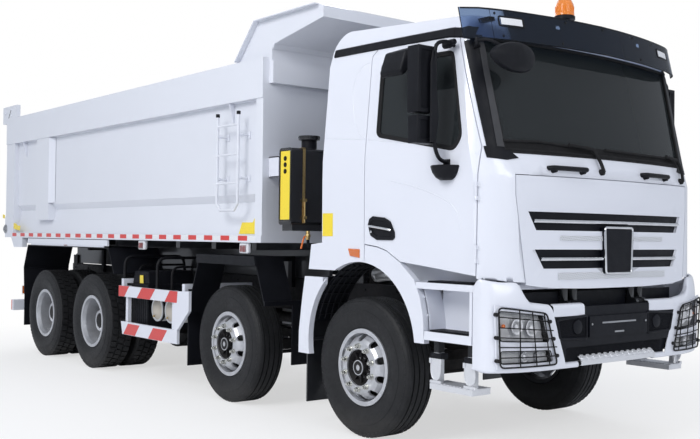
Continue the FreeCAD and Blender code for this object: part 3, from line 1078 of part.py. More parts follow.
def main():
    """Build every node and write its STEP file."""
    make_wheels()
    make_axles()
    make_frame()
    make_driveline()
    make_boxes()
    make_side_guards()
    make_mudguards()
    make_fenders()
    make_bumper()
    make_step_treads()
    make_oil_tank()
    make_cab()
    make_cab_outside()
    make_interior()
    make_bed()
    make_tailgate()
    make_hoist()
    os.makedirs("parts", exist_ok=True)
    for node, solids in PARTS.items():
        shape = Part.makeCompound(solids)
        shape.translate(Vector(SHIFT_X, 0, 0))
        shape.exportStep("parts/%s.step" % node)
        print("%-18s solids %2d  volume %.4f m3 valid %s" % (node, len(solids), shape.Volume / 1e9, shape.isValid()))


main()
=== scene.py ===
"""Studio scene of an eight-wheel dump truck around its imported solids.

Every length is in metres and every place is in the truck's own frame: +X is
forward, +Y is the driver's left and Z = 0 is the ground. Each sub-assembly is
a class that holds its sizes, builds its meshes and dresses them.
"""
import json
import logging
import math
import random
from dataclasses import dataclass, field
from enum import Enum
from typing import Iterable, Sequence

import bpy
from mathutils import Matrix, Vector

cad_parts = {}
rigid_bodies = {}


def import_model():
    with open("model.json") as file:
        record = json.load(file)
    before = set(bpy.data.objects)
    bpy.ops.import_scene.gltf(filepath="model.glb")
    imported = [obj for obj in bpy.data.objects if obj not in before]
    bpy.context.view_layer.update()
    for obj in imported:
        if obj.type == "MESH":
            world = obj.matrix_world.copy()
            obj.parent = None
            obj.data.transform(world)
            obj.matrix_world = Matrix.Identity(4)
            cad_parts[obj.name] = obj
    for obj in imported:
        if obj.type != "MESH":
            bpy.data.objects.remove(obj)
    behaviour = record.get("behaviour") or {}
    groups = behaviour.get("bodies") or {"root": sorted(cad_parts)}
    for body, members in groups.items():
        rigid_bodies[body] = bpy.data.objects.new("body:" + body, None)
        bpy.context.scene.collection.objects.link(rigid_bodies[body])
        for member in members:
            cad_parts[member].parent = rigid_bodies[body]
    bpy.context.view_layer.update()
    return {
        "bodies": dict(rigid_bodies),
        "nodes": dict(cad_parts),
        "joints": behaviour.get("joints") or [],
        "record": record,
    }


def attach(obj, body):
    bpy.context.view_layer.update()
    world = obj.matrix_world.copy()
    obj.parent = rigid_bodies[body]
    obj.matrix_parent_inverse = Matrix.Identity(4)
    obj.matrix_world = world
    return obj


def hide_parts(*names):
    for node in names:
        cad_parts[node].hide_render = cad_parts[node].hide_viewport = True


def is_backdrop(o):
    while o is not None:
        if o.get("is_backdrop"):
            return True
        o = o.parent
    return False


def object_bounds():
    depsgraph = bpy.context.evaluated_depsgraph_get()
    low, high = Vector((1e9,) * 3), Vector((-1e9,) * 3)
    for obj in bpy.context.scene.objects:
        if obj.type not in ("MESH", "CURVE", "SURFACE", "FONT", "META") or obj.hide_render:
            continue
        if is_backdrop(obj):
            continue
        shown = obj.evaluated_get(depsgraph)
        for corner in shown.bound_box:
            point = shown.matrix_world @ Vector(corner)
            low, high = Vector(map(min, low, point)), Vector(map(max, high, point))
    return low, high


LOG = logging.getLogger("dump_truck")

Point = tuple[float, float, float]
Colour = tuple[float, float, float]
Pair = tuple[float, float]
Outline = tuple[Pair, ...]
Piece = bpy.types.Object
Socket = bpy.types.NodeSocket

AXLE_X = (3.1265, 1.1765, -1.6735, -3.0735)
AXLE_Z = 0.540
CENTRE_SHIFT = 3.1265


class Side(Enum):
    """Left and right, as the driver sees them, with the sign of Y."""

    LEFT = 1
    RIGHT = -1

    @property
    def word(self) -> str:
        """The side's name as the bodies spell it."""
        return self.name.lower()


SIDES = (Side.LEFT, Side.RIGHT)


# ---- modelling tools ---------------------------------------------------------
def clear_selection() -> None:
    """Leave nothing selected, in object mode."""
    if bpy.context.object and bpy.context.object.mode != "OBJECT":
        mode("OBJECT")
    bpy.ops.object.select_all(action="DESELECT")


def choose(pieces: Sequence[Piece]) -> None:
    """Select these pieces only; the first is the active one.

    Args:
        pieces: what is selected.
    """
    clear_selection()
    for piece in pieces:
        piece.select_set(True)
    bpy.context.view_layer.objects.active = pieces[0]


def mode(word: str) -> None:
    """Switch between "EDIT" and "OBJECT"."""
    bpy.ops.object.mode_set(mode=word)


def apply_step(piece: Piece, kind: str, **settings: object) -> None:
    """Run one modifier on the active piece.

    Args:
        piece: the mesh object.
        kind: the modifier's type.
        settings: its options.
    """
    step = piece.modifiers.new(kind.lower(), kind)
    for key, value in settings.items():
        setattr(step, key, value)
    bpy.ops.object.modifier_apply(modifier=step.name)


def settle(name: str) -> Piece:
    """Name the active object and put its place into its mesh.

    Args:
        name: the piece's new name.

    Returns:
        The piece.
    """
    piece = bpy.context.object
    piece.name = name
    bpy.ops.object.transform_apply(location=True, rotation=True, scale=True)
    return piece


def edit(piece: Piece, *steps: str, distance: float = 1e-5) -> None:
    """Run mesh operators on the whole of a piece.

    Args:
        piece: the mesh object.
        steps: "merge" for doubles and "normals" for outward faces.
        distance: how close doubles lie.
    """
    choose([piece])
    mode("EDIT")
    bpy.ops.mesh.select_all(action="SELECT")
    for step in steps:
        if step == "merge":
            bpy.ops.mesh.remove_doubles(threshold=distance)
        if step == "normals":
            bpy.ops.mesh.normals_make_consistent(inside=False)
    mode("OBJECT")


def bevel(piece: Piece, width: float, segments: int = 2, angle: float = 35.0) -> Piece:
    """Round a piece's edges.

    Args:
        piece: the mesh object.
        width: the bevel's width.
        segments: faces across the bevel.
        angle: edges sharper than this many degrees are rounded.

    Returns:
        The same piece.
    """
    choose([piece])
    apply_step(piece, "BEVEL", width=width, segments=segments, limit_method="ANGLE",
               angle_limit=math.radians(angle))
    return piece


def smooth(piece: Piece, angle: float = 35.0) -> Piece:
    """Shade a piece smooth across edges flatter than angle degrees.

    Args:
        piece: the mesh object.
        angle: the angle in degrees.

    Returns:
        The same piece.
    """
    choose([piece])
    bpy.ops.object.shade_smooth_by_angle(angle=math.radians(angle))
    return piece


def block(name: str, low: Sequence[float], high: Sequence[float], edge: float = 0.0) -> Piece:
    """A box between two opposite corners with rounded edges.

    Args:
        name: the piece's name.
        low: one corner.
        high: the opposite corner.
        edge: how far the edges are rounded.

    Returns:
        The new piece.
    """
    low_v, high_v = sorted_pair(low, high)
    clear_selection()
    bpy.ops.mesh.primitive_cube_add(size=1.0, location=(low_v + high_v) / 2)
    bpy.context.object.scale = high_v - low_v
    piece = settle(name)
    return bevel(piece, edge) if edge else piece


def bar(name: str, start: Sequence[float], end: Sequence[float], radius: float, sides: int = 24,
        edge: float = 0.0) -> Piece:
    """A round bar between two points.

    Args:
        name: the piece's name.
        start: the middle of one end.
        end: the middle of the other end.
        radius: the bar's radius.
        sides: faces around it.
        edge: how far its rims are rounded.

    Returns:
        The new piece.
    """
    a, b = Vector(start), Vector(end)
    turn = (b - a).to_track_quat("Z", "Y").to_euler()
    clear_selection()
    bpy.ops.mesh.primitive_cylinder_add(vertices=sides, radius=radius, depth=(b - a).length,
                                        location=(a + b) / 2, rotation=turn)
    piece = settle(name)
    if edge:
        bevel(piece, edge)
    return smooth(piece)


def ring_of(points: Sequence[Sequence[float]], fill: str) -> Piece:
    """A circle primitive whose vertices are moved onto an outline.

    Args:
        points: the outline's corners in order.
        fill: the circle's fill type.

    Returns:
        The new piece.
    """
    clear_selection()
    bpy.ops.mesh.primitive_circle_add(vertices=len(points), radius=1.0, fill_type=fill)
    piece = bpy.context.object
    for vertex, point in zip(piece.data.vertices, points):
        vertex.co = point
    return piece


def plate(name: str, points: Sequence[Sequence[float]], depth: Sequence[float], edge: float = 0.0,
          segments: int = 2) -> Piece:
    """A flat outline given depth.

    Args:
        name: the piece's name.
        points: the outline's corners in order.
        depth: the direction and length of the extrusion.
        edge: how far the edges are rounded.
        segments: faces across the rounding.

    Returns:
        The new piece.
    """
    piece = ring_of(points, "NGON")
    mode("EDIT")
    bpy.ops.mesh.select_all(action="SELECT")
    bpy.ops.mesh.extrude_region_move(TRANSFORM_OT_translate={"value": tuple(depth)})
    mode("OBJECT")
    piece.name = name
    edit(piece, "normals")
    return bevel(piece, edge, segments) if edge else piece


def spun(name: str, profile: Sequence[Sequence[float]], centre: Sequence[float], axis: Sequence[float],
         steps: int = 64) -> Piece:
    """A closed outline turned all the way about an axis.

    Args:
        name: the piece's name.
        profile: the outline's corners, in one plane with the axis.
        centre: a point on the axis.
        axis: the axis' direction.
        steps: faces around it.

    Returns:
        The new piece.
    """
    piece = ring_of(profile, "NOTHING")
    mode("EDIT")
    bpy.ops.mesh.select_all(action="SELECT")
    bpy.ops.mesh.spin(steps=steps, angle=2 * math.pi, center=tuple(centre), axis=tuple(axis))
    mode("OBJECT")
    piece.name = name
    edit(piece, "merge", "normals")
    return smooth(piece)


def wheel_turned(name: str, outline: Sequence[Pair], centre: Sequence[float], steps: int = 64
                 ) -> Piece:
    """An outline of (y, radius) turned about a Y axis through centre."""
    x, y, z = centre
    return spun(name, [(x, y + across, z + radius) for across, radius in outline], centre, (0, 1, 0), steps)


def tube(name: str, points: Sequence[Sequence[float]], radius: float, bend: float = 0.0, sides: int = 3,
         closed: bool = False) -> Piece:
    """A round wire or pipe along a line of points with rounded corners.

    Args:
        name: the piece's name.
        points: the line's corners.
        radius: the wire's radius.
        bend: how far before a corner the rounding starts.
        sides: the curve's bevel resolution.
        closed: whether the line joins up.

    Returns:
        The new piece, as a mesh.
    """
    line = [Vector(p) for p in points]
    route: list[Vector] = []
    last = len(line) - 1
    for i, corner in enumerate(line):
        if bend and (closed or 0 < i < last):
            before = line[i - 1] - corner
            after = line[(i + 1) % len(line)] - corner
            start = corner + before.normalized() * min(bend, before.length * 0.45)
            end = corner + after.normalized() * min(bend, after.length * 0.45)
            for t in (0.0, 0.25, 0.5, 0.75, 1.0):
                route.append(start * (1 - t) ** 2 + corner * 2 * t * (1 - t) + end * t * t)
        else:
            route.append(corner)
    clear_selection()
    bpy.ops.curve.primitive_nurbs_path_add()
    curve = bpy.context.object
    curve.data.splines.clear()
    spline = curve.data.splines.new("POLY")
    spline.points.add(len(route) - 1)
    for spot, place in zip(spline.points, route):
        spot.co = (*place, 1.0)
    spline.use_cyclic_u = closed
    curve.data.dimensions = "3D"
    curve.data.bevel_depth, curve.data.bevel_resolution = radius, sides
    curve.data.use_fill_caps = True
    bpy.ops.object.convert(target="MESH")
    piece = settle(name)
    edit(piece, "merge", "normals")
    return smooth(piece, 50)


def join(name: str, pieces: Iterable[Piece]) -> Piece:
    """Make one piece of several.

    Args:
        name: the piece's name.
        pieces: what is joined.

    Returns:
        The joined piece.
    """
    every = list(pieces)
    choose(every)
    if len(every) > 1:
        bpy.ops.object.join()
    bpy.context.object.name = name
    return bpy.context.object


def copied(piece: Piece, change: Matrix) -> Piece:
    """A copy with its own mesh, moved or turned by a matrix.

    Args:
        piece: what is copied.
        change: the matrix.

    Returns:
        The copy.
    """
    twin = piece.copy()
    twin.data = piece.data.copy()
    bpy.context.scene.collection.objects.link(twin)
    twin.data.transform(change)
    if change.to_3x3().determinant() < 0:
        twin.data.flip_normals()
    return twin


def shifted(piece: Piece, shifts: Iterable[Sequence[float]]) -> list[Piece]:
    """Copies of a piece at these distances from it."""
    return [copied(piece, Matrix.Translation(Vector(shift))) for shift in shifts]


def turned(piece: Piece, centre: Sequence[float], axis: Sequence[float], count: int
           ) -> list[Piece]:
    """A piece and its copies, evenly round an axis.

    Args:
        piece: the mesh object.
        centre: a point on the axis.
        axis: the axis' direction.
        count: how many there are in all.

    Returns:
        The piece and its copies.
    """
    middle = Vector(centre)
    found = [piece]
    for i in range(1, count):
        spin = Matrix.Rotation(2 * math.pi * i / count, 4, Vector(axis))
        found.append(copied(piece, Matrix.Translation(middle) @ spin @ Matrix.Translation(-middle)))
    return found


def around(centre: Sequence[float], angle: float) -> Matrix:
    """A turn about the line through a point that runs across the truck."""
    middle = Vector(centre)
    return Matrix.Translation(middle) @ Matrix.Rotation(angle, 4, "Y") @ Matrix.Translation(-middle)


def sorted_pair(a: Sequence[float], b: Sequence[float]) -> tuple[Vector, Vector]:
    """The lowest and the highest corner of two points."""
    return Vector(map(min, a, b)), Vector(map(max, a, b))


def world(x: float, y: float, z: float) -> Vector:
    """A point given from the first axle, in the truck's own frame."""
    return Vector((x + CENTRE_SHIFT, y, z))


def edit_faces(faces: Sequence[bpy.types.MeshPolygon]) -> None:
    """Enter edit mode on the active piece with only these faces selected.

    Args:
        faces: the faces that stay selected.
    """
    chosen = [face.index for face in faces]
    mode("EDIT")
    bpy.ops.mesh.select_mode(type="FACE")
    bpy.ops.mesh.select_all(action="DESELECT")
    mode("OBJECT")
    polygons = bpy.context.object.data.polygons
    for index in chosen:
        polygons[index].select = True
    mode("EDIT")


def patch(name: str, rows: Sequence[Sequence[Vector]], thick: float = 0.004,
          hole: tuple[range, range] | None = None, rounds: int = 0) -> Piece:
    """A curved sheet through rows of points, thickened to both sides.

    Args:
        name: the piece's name.
        rows: lines of points, each with the same number of points.
        thick: the sheet's thickness.
        hole: columns and rows of faces that are left open.
        rounds: times that the sheet is smoothly subdivided.

    Returns:
        The new piece.
    """
    clear_selection()
    across, down = len(rows[0]) - 1, len(rows) - 1
    bpy.ops.mesh.primitive_grid_add(x_subdivisions=across, y_subdivisions=down)
    piece = bpy.context.object
    places = [place for row in rows for place in row]
    for vertex, place in zip(piece.data.vertices, places):
        vertex.co = place
    if hole:
        edit_faces([face for index, face in enumerate(piece.data.polygons)
                    if index % across in hole[0] and index // across in hole[1]])
        bpy.ops.mesh.delete(type="FACE")
        mode("OBJECT")
    if rounds:
        apply_step(piece, "SUBSURF", levels=rounds, render_levels=rounds)
    apply_step(piece, "SOLIDIFY", thickness=thick, offset=0.0)
    piece.name = name
    edit(piece, "normals")
    return smooth(piece, 30)


def sink(piece: Piece, facing: Sequence[float], margin: float, depth: float) -> Piece:
    """Sink the middle of the widest face that looks along facing.

    Args:
        piece: the mesh object.
        facing: the face's outward direction.
        margin: the border that stays.
        depth: how deep the middle lies; a negative depth raises it.

    Returns:
        The same piece.
    """
    choose([piece])
    along = Vector(facing).normalized()
    faces = [face for face in piece.data.polygons if face.normal.dot(along) > 0.8]
    edit_faces([max(faces, key=lambda face: face.area)])
    bpy.ops.mesh.inset(thickness=margin, depth=0.0)
    bpy.ops.mesh.inset(thickness=abs(depth) * 0.4, depth=-depth)
    mode("OBJECT")
    return piece


def steps(start: float, end: float, count: int) -> list[float]:
    """Evenly spaced values from start to end."""
    return [start + (end - start) * i / (count - 1) for i in range(count)]


def between(table: Sequence[float], heights: Sequence[float], z: float) -> float:
    """A value read off a table of heights, in straight lines.

    Args:
        table: the values.
        heights: their heights, rising.
        z: the height asked for.

    Returns:
        The value there.
    """
    for low, high, a, b in zip(heights, heights[1:], table, table[1:]):
        if z <= high:
            return a + (b - a) * max(0.0, (z - low) / (high - low))
    return table[-1]


def carved(node: Piece, name: str, cutters: Iterable[Piece]) -> Piece:
    """A copy of a solid's mesh with blocks cut away from it.

    Args:
        node: the solid that is copied and left as it is.
        name: the new piece's name.
        cutters: closed meshes that are cut away and then removed.

    Returns:
        The new piece.
    """
    piece = copied(node, Matrix.Identity(4))
    piece.name = name
    edit(piece, "merge", distance=2e-5)
    for cutter in cutters:
        choose([piece])
        apply_step(piece, "BOOLEAN", operation="DIFFERENCE", solver="EXACT", object=cutter)
        bpy.data.objects.remove(cutter)
    edit(piece, "merge", distance=1e-4)
    smooth(piece, 24.0)
    apply_step(piece, "WEIGHTED_NORMAL", keep_sharp=True)
    return piece


# ---- finishes ----------------------------------------------------------------
@dataclass(frozen=True)
class Zone:
    """A block of space that takes a second colour; its y counts from the truck's middle."""

    x: Pair
    y: Pair
    z: Pair


class Nodes:
    """Short forms for the nodes of one material."""

    def __init__(self, name: str) -> None:
        """Start a material with its shader and Object coordinates.

        Args:
            name: the material's name.
        """
        self.material = bpy.data.materials.new(name)
        self.material.use_nodes = True
        self.tree = self.material.node_tree
        self.tree.nodes.clear()
        self.out = self.tree.nodes.new("ShaderNodeOutputMaterial")
        self.shader = self.tree.nodes.new("ShaderNodeBsdfPrincipled")
        self.wire(self.shader.outputs[0], self.out.inputs[0])
        self.place = self.tree.nodes.new("ShaderNodeTexCoord").outputs["Object"]

    def wire(self, source: Socket, target: Socket) -> None:
        """Link two sockets."""
        self.tree.links.new(source, target)

    def feed(self, socket: Socket, value: object) -> None:
        """Link a socket or set its value.

        Args:
            socket: the input.
            value: a socket, a colour or a number.
        """
        if isinstance(value, Socket):
            self.wire(value, socket)
        elif isinstance(value, tuple) and len(value) == 3 and socket.type == "RGBA":
            socket.default_value = (*value, 1.0)
        else:
            socket.default_value = value

    def set(self, **values: object) -> None:
        """Set or link the shader's inputs; an underscore stands for a space."""
        for name, value in values.items():
            self.feed(self.shader.inputs[name.replace("_", " ")], value)

    def node(self, kind: str, *inputs: object, **settings: object) -> bpy.types.Node:
        """Add a node, set its options and feed its inputs in order.

        Args:
            kind: the node's type.
            inputs: values or sockets in order.
            settings: its options.

        Returns:
            The node.
        """
        made = self.tree.nodes.new("ShaderNode" + kind)
        for name, value in settings.items():
            setattr(made, name, value)
        for socket, value in zip(made.inputs, inputs):
            if value is not None:
                self.feed(socket, value)
        return made

    def stretched(self, scale: Point, turn: Point = (0.0, 0.0, 0.0)) -> Socket:
        """Object coordinates, scaled and turned.

        Args:
            scale: the factors.
            turn: the angles in radians.

        Returns:
            The new coordinates.
        """
        made = self.node("Mapping", self.place)
        made.inputs["Scale"].default_value = scale
        made.inputs["Rotation"].default_value = turn
        return made.outputs[0]

    def noise(self, scale: float, detail: float = 3.0, rough: float = 0.55,
              at: Socket | None = None) -> Socket:
        """Noise from 0 to 1.

        Args:
            scale: repeats in a metre.
            detail: how many finer layers it has.
            rough: how strong they are.
            at: the coordinates, if they aren't the plain ones.

        Returns:
            The noise.
        """
        made = self.texture("Noise", scale, at)
        made.inputs["Detail"].default_value = detail
        made.inputs["Roughness"].default_value = rough
        return made.outputs["Fac"]

    def span(self, value: Socket, low: float, high: float, to_low: float, to_high: float
             ) -> Socket:
        """Map a value from one range to another, kept within it."""
        return self.node("MapRange", value, low, high, to_low, to_high).outputs[0]

    def blend(self, share: object, first: object, second: object) -> Socket:
        """Mix two colours.

        Args:
            share: how much of the second.
            first: the first colour.
            second: the second colour.

        Returns:
            The mixed colour.
        """
        made = self.node("Mix", data_type="RGBA")
        self.feed(made.inputs[0], share)
        self.feed(made.inputs[6], first)
        self.feed(made.inputs[7], second)
        return made.outputs[2]

    def texture(self, kind: str, scale: float, at: Socket | None = None, **settings: object
                ) -> bpy.types.Node:
        """Add a texture at this scale.

        Args:
            kind: its type.
            scale: repeats in a metre.
            at: the coordinates, if they aren't the plain ones.
            settings: its options.

        Returns:
            The node.
        """
        made = self.node("Tex" + kind, at or self.place, **settings)
        made.inputs["Scale"].default_value = scale
        return made

    def blackened(self, colour: object, zones: Iterable[Zone]) -> object:
        """Cover a colour with near-black inside some zones: the black of real parts in some zones, painted
        shade in others.

        Args:
            colour: the colour elsewhere.
            zones: where the near-black lies.

        Returns:
            The colour of both together.
        """
        for zone in zones:
            colour = self.blend(self.within(zone), colour, BLACK_PARTS_AND_SHADE)
        return colour

    def sums(self, how: str, first: object, second: object) -> Socket:
        """Arithmetic on two values."""
        return self.node("Math", first, second, operation=how).outputs[0]

    def along(self, axis: str) -> Socket:
        """One coordinate of the place."""
        return self.node("SeparateXYZ", self.place).outputs[axis]

    def bump(self, height: Socket, depth: float, strength: float = 1.0) -> None:
        """Let a height raise the surface by depth metres.

        Args:
            height: the height.
            depth: metres for a height of 1.
            strength: how much of it shows.
        """
        made = self.node("Bump")
        made.inputs["Strength"].default_value = strength
        made.inputs["Distance"].default_value = depth
        self.wire(height, made.inputs["Height"])
        self.wire(made.outputs[0], self.shader.inputs["Normal"])

    def dusted(self, colour: object, amount: float, top: float) -> Socket:
        """Road dust that thins out with height and lies in patches.

        Args:
            colour: the colour under it.
            amount: its share at the ground.
            top: the height where it ends.

        Returns:
            The dusted colour.
        """
        fade = self.span(self.along("Z"), 0.1, top, 1.0, 0.0)
        patches = self.span(self.noise(5.0, 5.0, 0.65), 0.35, 0.75, 0.2, 1.0)
        share = self.sums("MULTIPLY", self.sums("MULTIPLY", fade, patches), amount)
        return self.blend(share, colour, DUST)

    def within(self, zone: Zone) -> Socket:
        """1 inside a zone that lies on both sides of the truck, 0 outside it.

        Args:
            zone: the block of space.

        Returns:
            The share.
        """
        place = self.node("SeparateXYZ", self.place)
        depth = self.sums("ABSOLUTE", place.outputs["Y"], 0.0)
        found: Socket | None = None
        for value, (low, high) in zip((place.outputs["X"], depth, place.outputs["Z"]),
                                      (zone.x, zone.y, zone.z)):
            inside = self.node("Math", value, (low + high) / 2, (high - low) / 2,
                               operation="COMPARE").outputs[0]
            found = inside if found is None else self.sums("MULTIPLY", found, inside)
        return found


DUST: Colour = (0.36, 0.33, 0.29)
# Near-black for the zones of some finishes: the real black of parts such as the wheel-arch flap, and
# painted shade such as inside the rims and under the cab.
BLACK_PARTS_AND_SHADE: Colour = (0.020, 0.021, 0.024)


@dataclass(frozen=True)
class Finish:
    """A finish that makes its material once and hands it out again."""

    name: str
    slot: str
    colour: Colour

    def shade(self, share: float, lift: float = 0.0) -> Colour:
        """The colour times a share, with a lift added."""
        return tuple(c * share + lift for c in self.colour)

    def material(self) -> bpy.types.Material:
        """The finish's material.

        Returns:
            The material.
        """
        if self.name not in bpy.data.materials:
            self.make(Nodes(self.name))
        return bpy.data.materials[self.name]

    def make(self, nodes: Nodes) -> None:
        """Build the nodes; each kind of finish does this its own way."""
        raise NotImplementedError


@dataclass(frozen=True)
class Enamel(Finish):
    """Sprayed paint under clear gloss, with orange peel and a little dust."""

    rough: float = 0.30
    coat: float = 0.5
    dust: float = 0.10
    peel: float = 0.00010
    black: tuple[Zone, ...] = ()

    def make(self, nodes: Nodes) -> None:
        """Paint with faint cloudiness, orange peel and low dust, black in its zones.

        Args:
            nodes: the material's nodes.
        """
        dark = self.shade(0.982)
        cloud = nodes.blend(nodes.span(nodes.noise(1.7, 3.0), 0.3, 0.7, 0.0, 1.0), self.colour, dark)
        tone = nodes.dusted(cloud, self.dust, 0.9)
        nodes.set(Base_Color=nodes.blackened(tone, self.black),
                  Roughness=nodes.span(nodes.noise(24.0, 4.0), 0.3, 0.7, self.rough * 0.94,
                                       self.rough * 1.06), Coat_Weight=self.coat, Coat_Roughness=0.08)
        nodes.bump(nodes.noise(220.0, 2.0), self.peel)


@dataclass(frozen=True)
class ChassisPaint(Finish):
    """Satin black over rough steel, dusty low down."""

    rough: float = 0.5
    dust: float = 0.10

    def make(self, nodes: Nodes) -> None:
        """Black paint over a faintly uneven casting.

        Args:
            nodes: the material's nodes.
        """
        light = self.shade(1.5, 0.003)
        worn = nodes.blend(nodes.span(nodes.noise(14.0, 6.0, 0.7), 0.45, 0.8, 0.0, 0.7), self.colour, light)
        nodes.set(Base_Color=nodes.dusted(worn, self.dust, 1.4),
                  Roughness=nodes.span(nodes.noise(30.0, 4.0), 0.3, 0.7, self.rough - 0.12, self.rough
                                       + 0.15), Specular_IOR_Level=0.16)
        nodes.bump(nodes.noise(160.0, 5.0, 0.7), 0.0006)


@dataclass(frozen=True)
class Rubber(Finish):
    """Tyre rubber: fine grain, greyer where it touches the road."""

    def make(self, nodes: Nodes) -> None:
        """Black rubber with a dusty bloom and a fine grain.

        Args:
            nodes: the material's nodes.
        """
        bloom = nodes.span(nodes.noise(11.0, 6.0, 0.7), 0.35, 0.75, 0.0, 1.0)
        grey = self.shade(1.5, 0.003)
        nodes.set(Base_Color=nodes.dusted(nodes.blend(bloom, self.colour, grey), 0.07, 0.25),
                  Roughness=nodes.span(nodes.noise(40.0, 5.0), 0.3, 0.7, 0.50, 0.66),
                  Specular_IOR_Level=0.32)
        nodes.bump(nodes.noise(420.0, 4.0, 0.7), 0.0007)


@dataclass(frozen=True)
class Metal(Finish):
    """Bare, coated or polished metal."""

    rough: float = 0.35
    metallic: float = 1.0
    grain: float = 60.0
    depth: float = 0.0003
    dust: float = 0.12
    black: tuple[Zone, ...] = ()

    def make(self, nodes: Nodes) -> None:
        """Metal with clouded brightness and fine scratches.

        Args:
            nodes: the material's nodes.
        """
        dark = self.shade(0.8)
        cloud = nodes.blend(nodes.span(nodes.noise(self.grain * 0.25, 6.0, 0.65), 0.3, 0.75, 0.0, 1.0),
                            self.colour, dark)
        nodes.set(Base_Color=nodes.blackened(nodes.dusted(cloud, self.dust, 1.2), self.black),
                  Metallic=self.metallic,
                  Roughness=nodes.span(nodes.noise(self.grain, 5.0), 0.3, 0.7, self.rough * 0.75,
                                       self.rough * 1.3))
        nodes.bump(nodes.noise(self.grain * 6, 3.0), self.depth)


@dataclass(frozen=True)
class Galvanised(Finish):
    """Zinc-dipped steel with its spangle, painted black in its zones."""

    black: tuple[Zone, ...] = ()

    def make(self, nodes: Nodes) -> None:
        """Zinc crystals as faint patches of brightness.

        Args:
            nodes: the material's nodes.
        """
        cells = nodes.texture("Voronoi", 240.0)
        tone = nodes.span(cells.outputs["Distance"], 0.0, 0.9, 0.0, 1.0)
        dull = self.shade(0.90)
        nodes.set(Base_Color=nodes.blackened(nodes.blend(tone, self.colour, dull), self.black),
                  Metallic=0.55, Roughness=nodes.span(tone, 0.0, 1.0, 0.32, 0.5))
        nodes.bump(nodes.noise(300.0, 3.0), 0.0003)


@dataclass(frozen=True)
class Plastic(Finish):
    """Moulded plastic with a leather-like grain."""

    rough: float = 0.45
    grain: float = 500.0
    depth: float = 0.0005

    def make(self, nodes: Nodes) -> None:
        """Grained plastic with a faint unevenness of gloss.

        Args:
            nodes: the material's nodes.
        """
        cells = nodes.texture("Voronoi", self.grain)
        light = self.shade(1.3, 0.0015)
        nodes.set(Base_Color=nodes.blend(nodes.span(nodes.noise(6.0, 5.0), 0.35, 0.7, 0.0, 1.0),
                                         self.colour, light),
                  Roughness=nodes.span(nodes.noise(18.0, 4.0), 0.3, 0.7, self.rough - 0.08, self.rough
                                       + 0.1), Specular_IOR_Level=0.16)
        nodes.bump(cells.outputs["Distance"], self.depth, 0.6)


@dataclass(frozen=True)
class Glass(Finish):
    """Tinted glass: each face of a pane stops a share of the light and mirrors the room."""

    stop: float = 0.5
    rough: float = 0.02

    def make(self, nodes: Nodes) -> None:
        """A thin pane: see-through where faced, mirror-like at a glance, with faint dust.

        Args:
            nodes: the material's nodes.
        """
        film = nodes.span(nodes.noise(7.0, 6.0, 0.7), 0.4, 0.85, self.rough, self.rough + 0.04)
        nodes.set(Base_Color=self.shade(0.06), Roughness=film, Specular_IOR_Level=0.55)
        through = nodes.node("BsdfTransparent", self.colour)
        fresnel = nodes.node("Fresnel")
        fresnel.inputs["IOR"].default_value = 1.5
        share = nodes.span(fresnel.outputs[0], 0.0, 1.0, self.stop, 1.0)
        mixed = nodes.node("MixShader", share, through.outputs[0], nodes.shader.outputs[0])
        nodes.wire(mixed.outputs[0], nodes.out.inputs[0])


@dataclass(frozen=True)
class Lens(Finish):
    """Coloured lamp plastic with moulded flutes."""

    glow: float = 0.0
    flutes: float = 180.0

    def make(self, nodes: Nodes) -> None:
        """Glossy, slightly see-through plastic with fine vertical flutes.

        Args:
            nodes: the material's nodes.
        """
        wave = nodes.texture("Wave", self.flutes, bands_direction="Z")
        deep = self.shade(0.55)
        nodes.set(Base_Color=nodes.blend(wave.outputs["Fac"], self.colour, deep), Roughness=0.12,
                  Transmission_Weight=0.25, Coat_Weight=0.6, Emission_Color=self.colour,
                  Emission_Strength=self.glow)
        nodes.bump(wave.outputs["Fac"], 0.0006)


@dataclass(frozen=True)
class Perforated(Finish):
    """Pale enamel pierced by rows of small slanting slots."""

    pitch: float = 19.0

    def make(self, nodes: Nodes) -> None:
        """Two crossed waves mark the slots, coloured near-black as painted shade for openings that are not
        cut.

        Args:
            nodes: the material's nodes.
        """
        slanted = nodes.stretched((1.0, 1.0, 1.0), (math.radians(40), 0.0, 0.0))
        marks = []
        for axis in "YZ":
            wave = nodes.texture("Wave", self.pitch, slanted, bands_direction=axis)
            marks.append(nodes.span(wave.outputs["Fac"], 0.55, 0.72, 0.0, 1.0))
        dark = nodes.sums("MULTIPLY", marks[0], marks[1])
        # The slots' near-black is painted shade for the hollow behind each opening; the bump sinks them a
        # little.
        nodes.set(Base_Color=nodes.blend(dark, self.colour, (0.05, 0.05, 0.06)), Roughness=0.4)
        nodes.bump(dark, -0.002)


@dataclass(frozen=True)
class Marking(Finish):
    """Reflective film or a painted patch, with a fine honeycomb."""

    rough: float = 0.3

    def make(self, nodes: Nodes) -> None:
        """Film with a faint cell pattern under gloss.

        Args:
            nodes: the material's nodes.
        """
        cells = nodes.texture("Voronoi", 160.0, feature="DISTANCE_TO_EDGE")
        edge = nodes.span(cells.outputs["Distance"], 0.0, 0.08, 0.0, 1.0)
        nodes.set(Base_Color=nodes.blend(edge, self.shade(0.8), self.colour),
                  Roughness=self.rough, Coat_Weight=0.3)
        nodes.bump(nodes.noise(150.0), 0.0001)


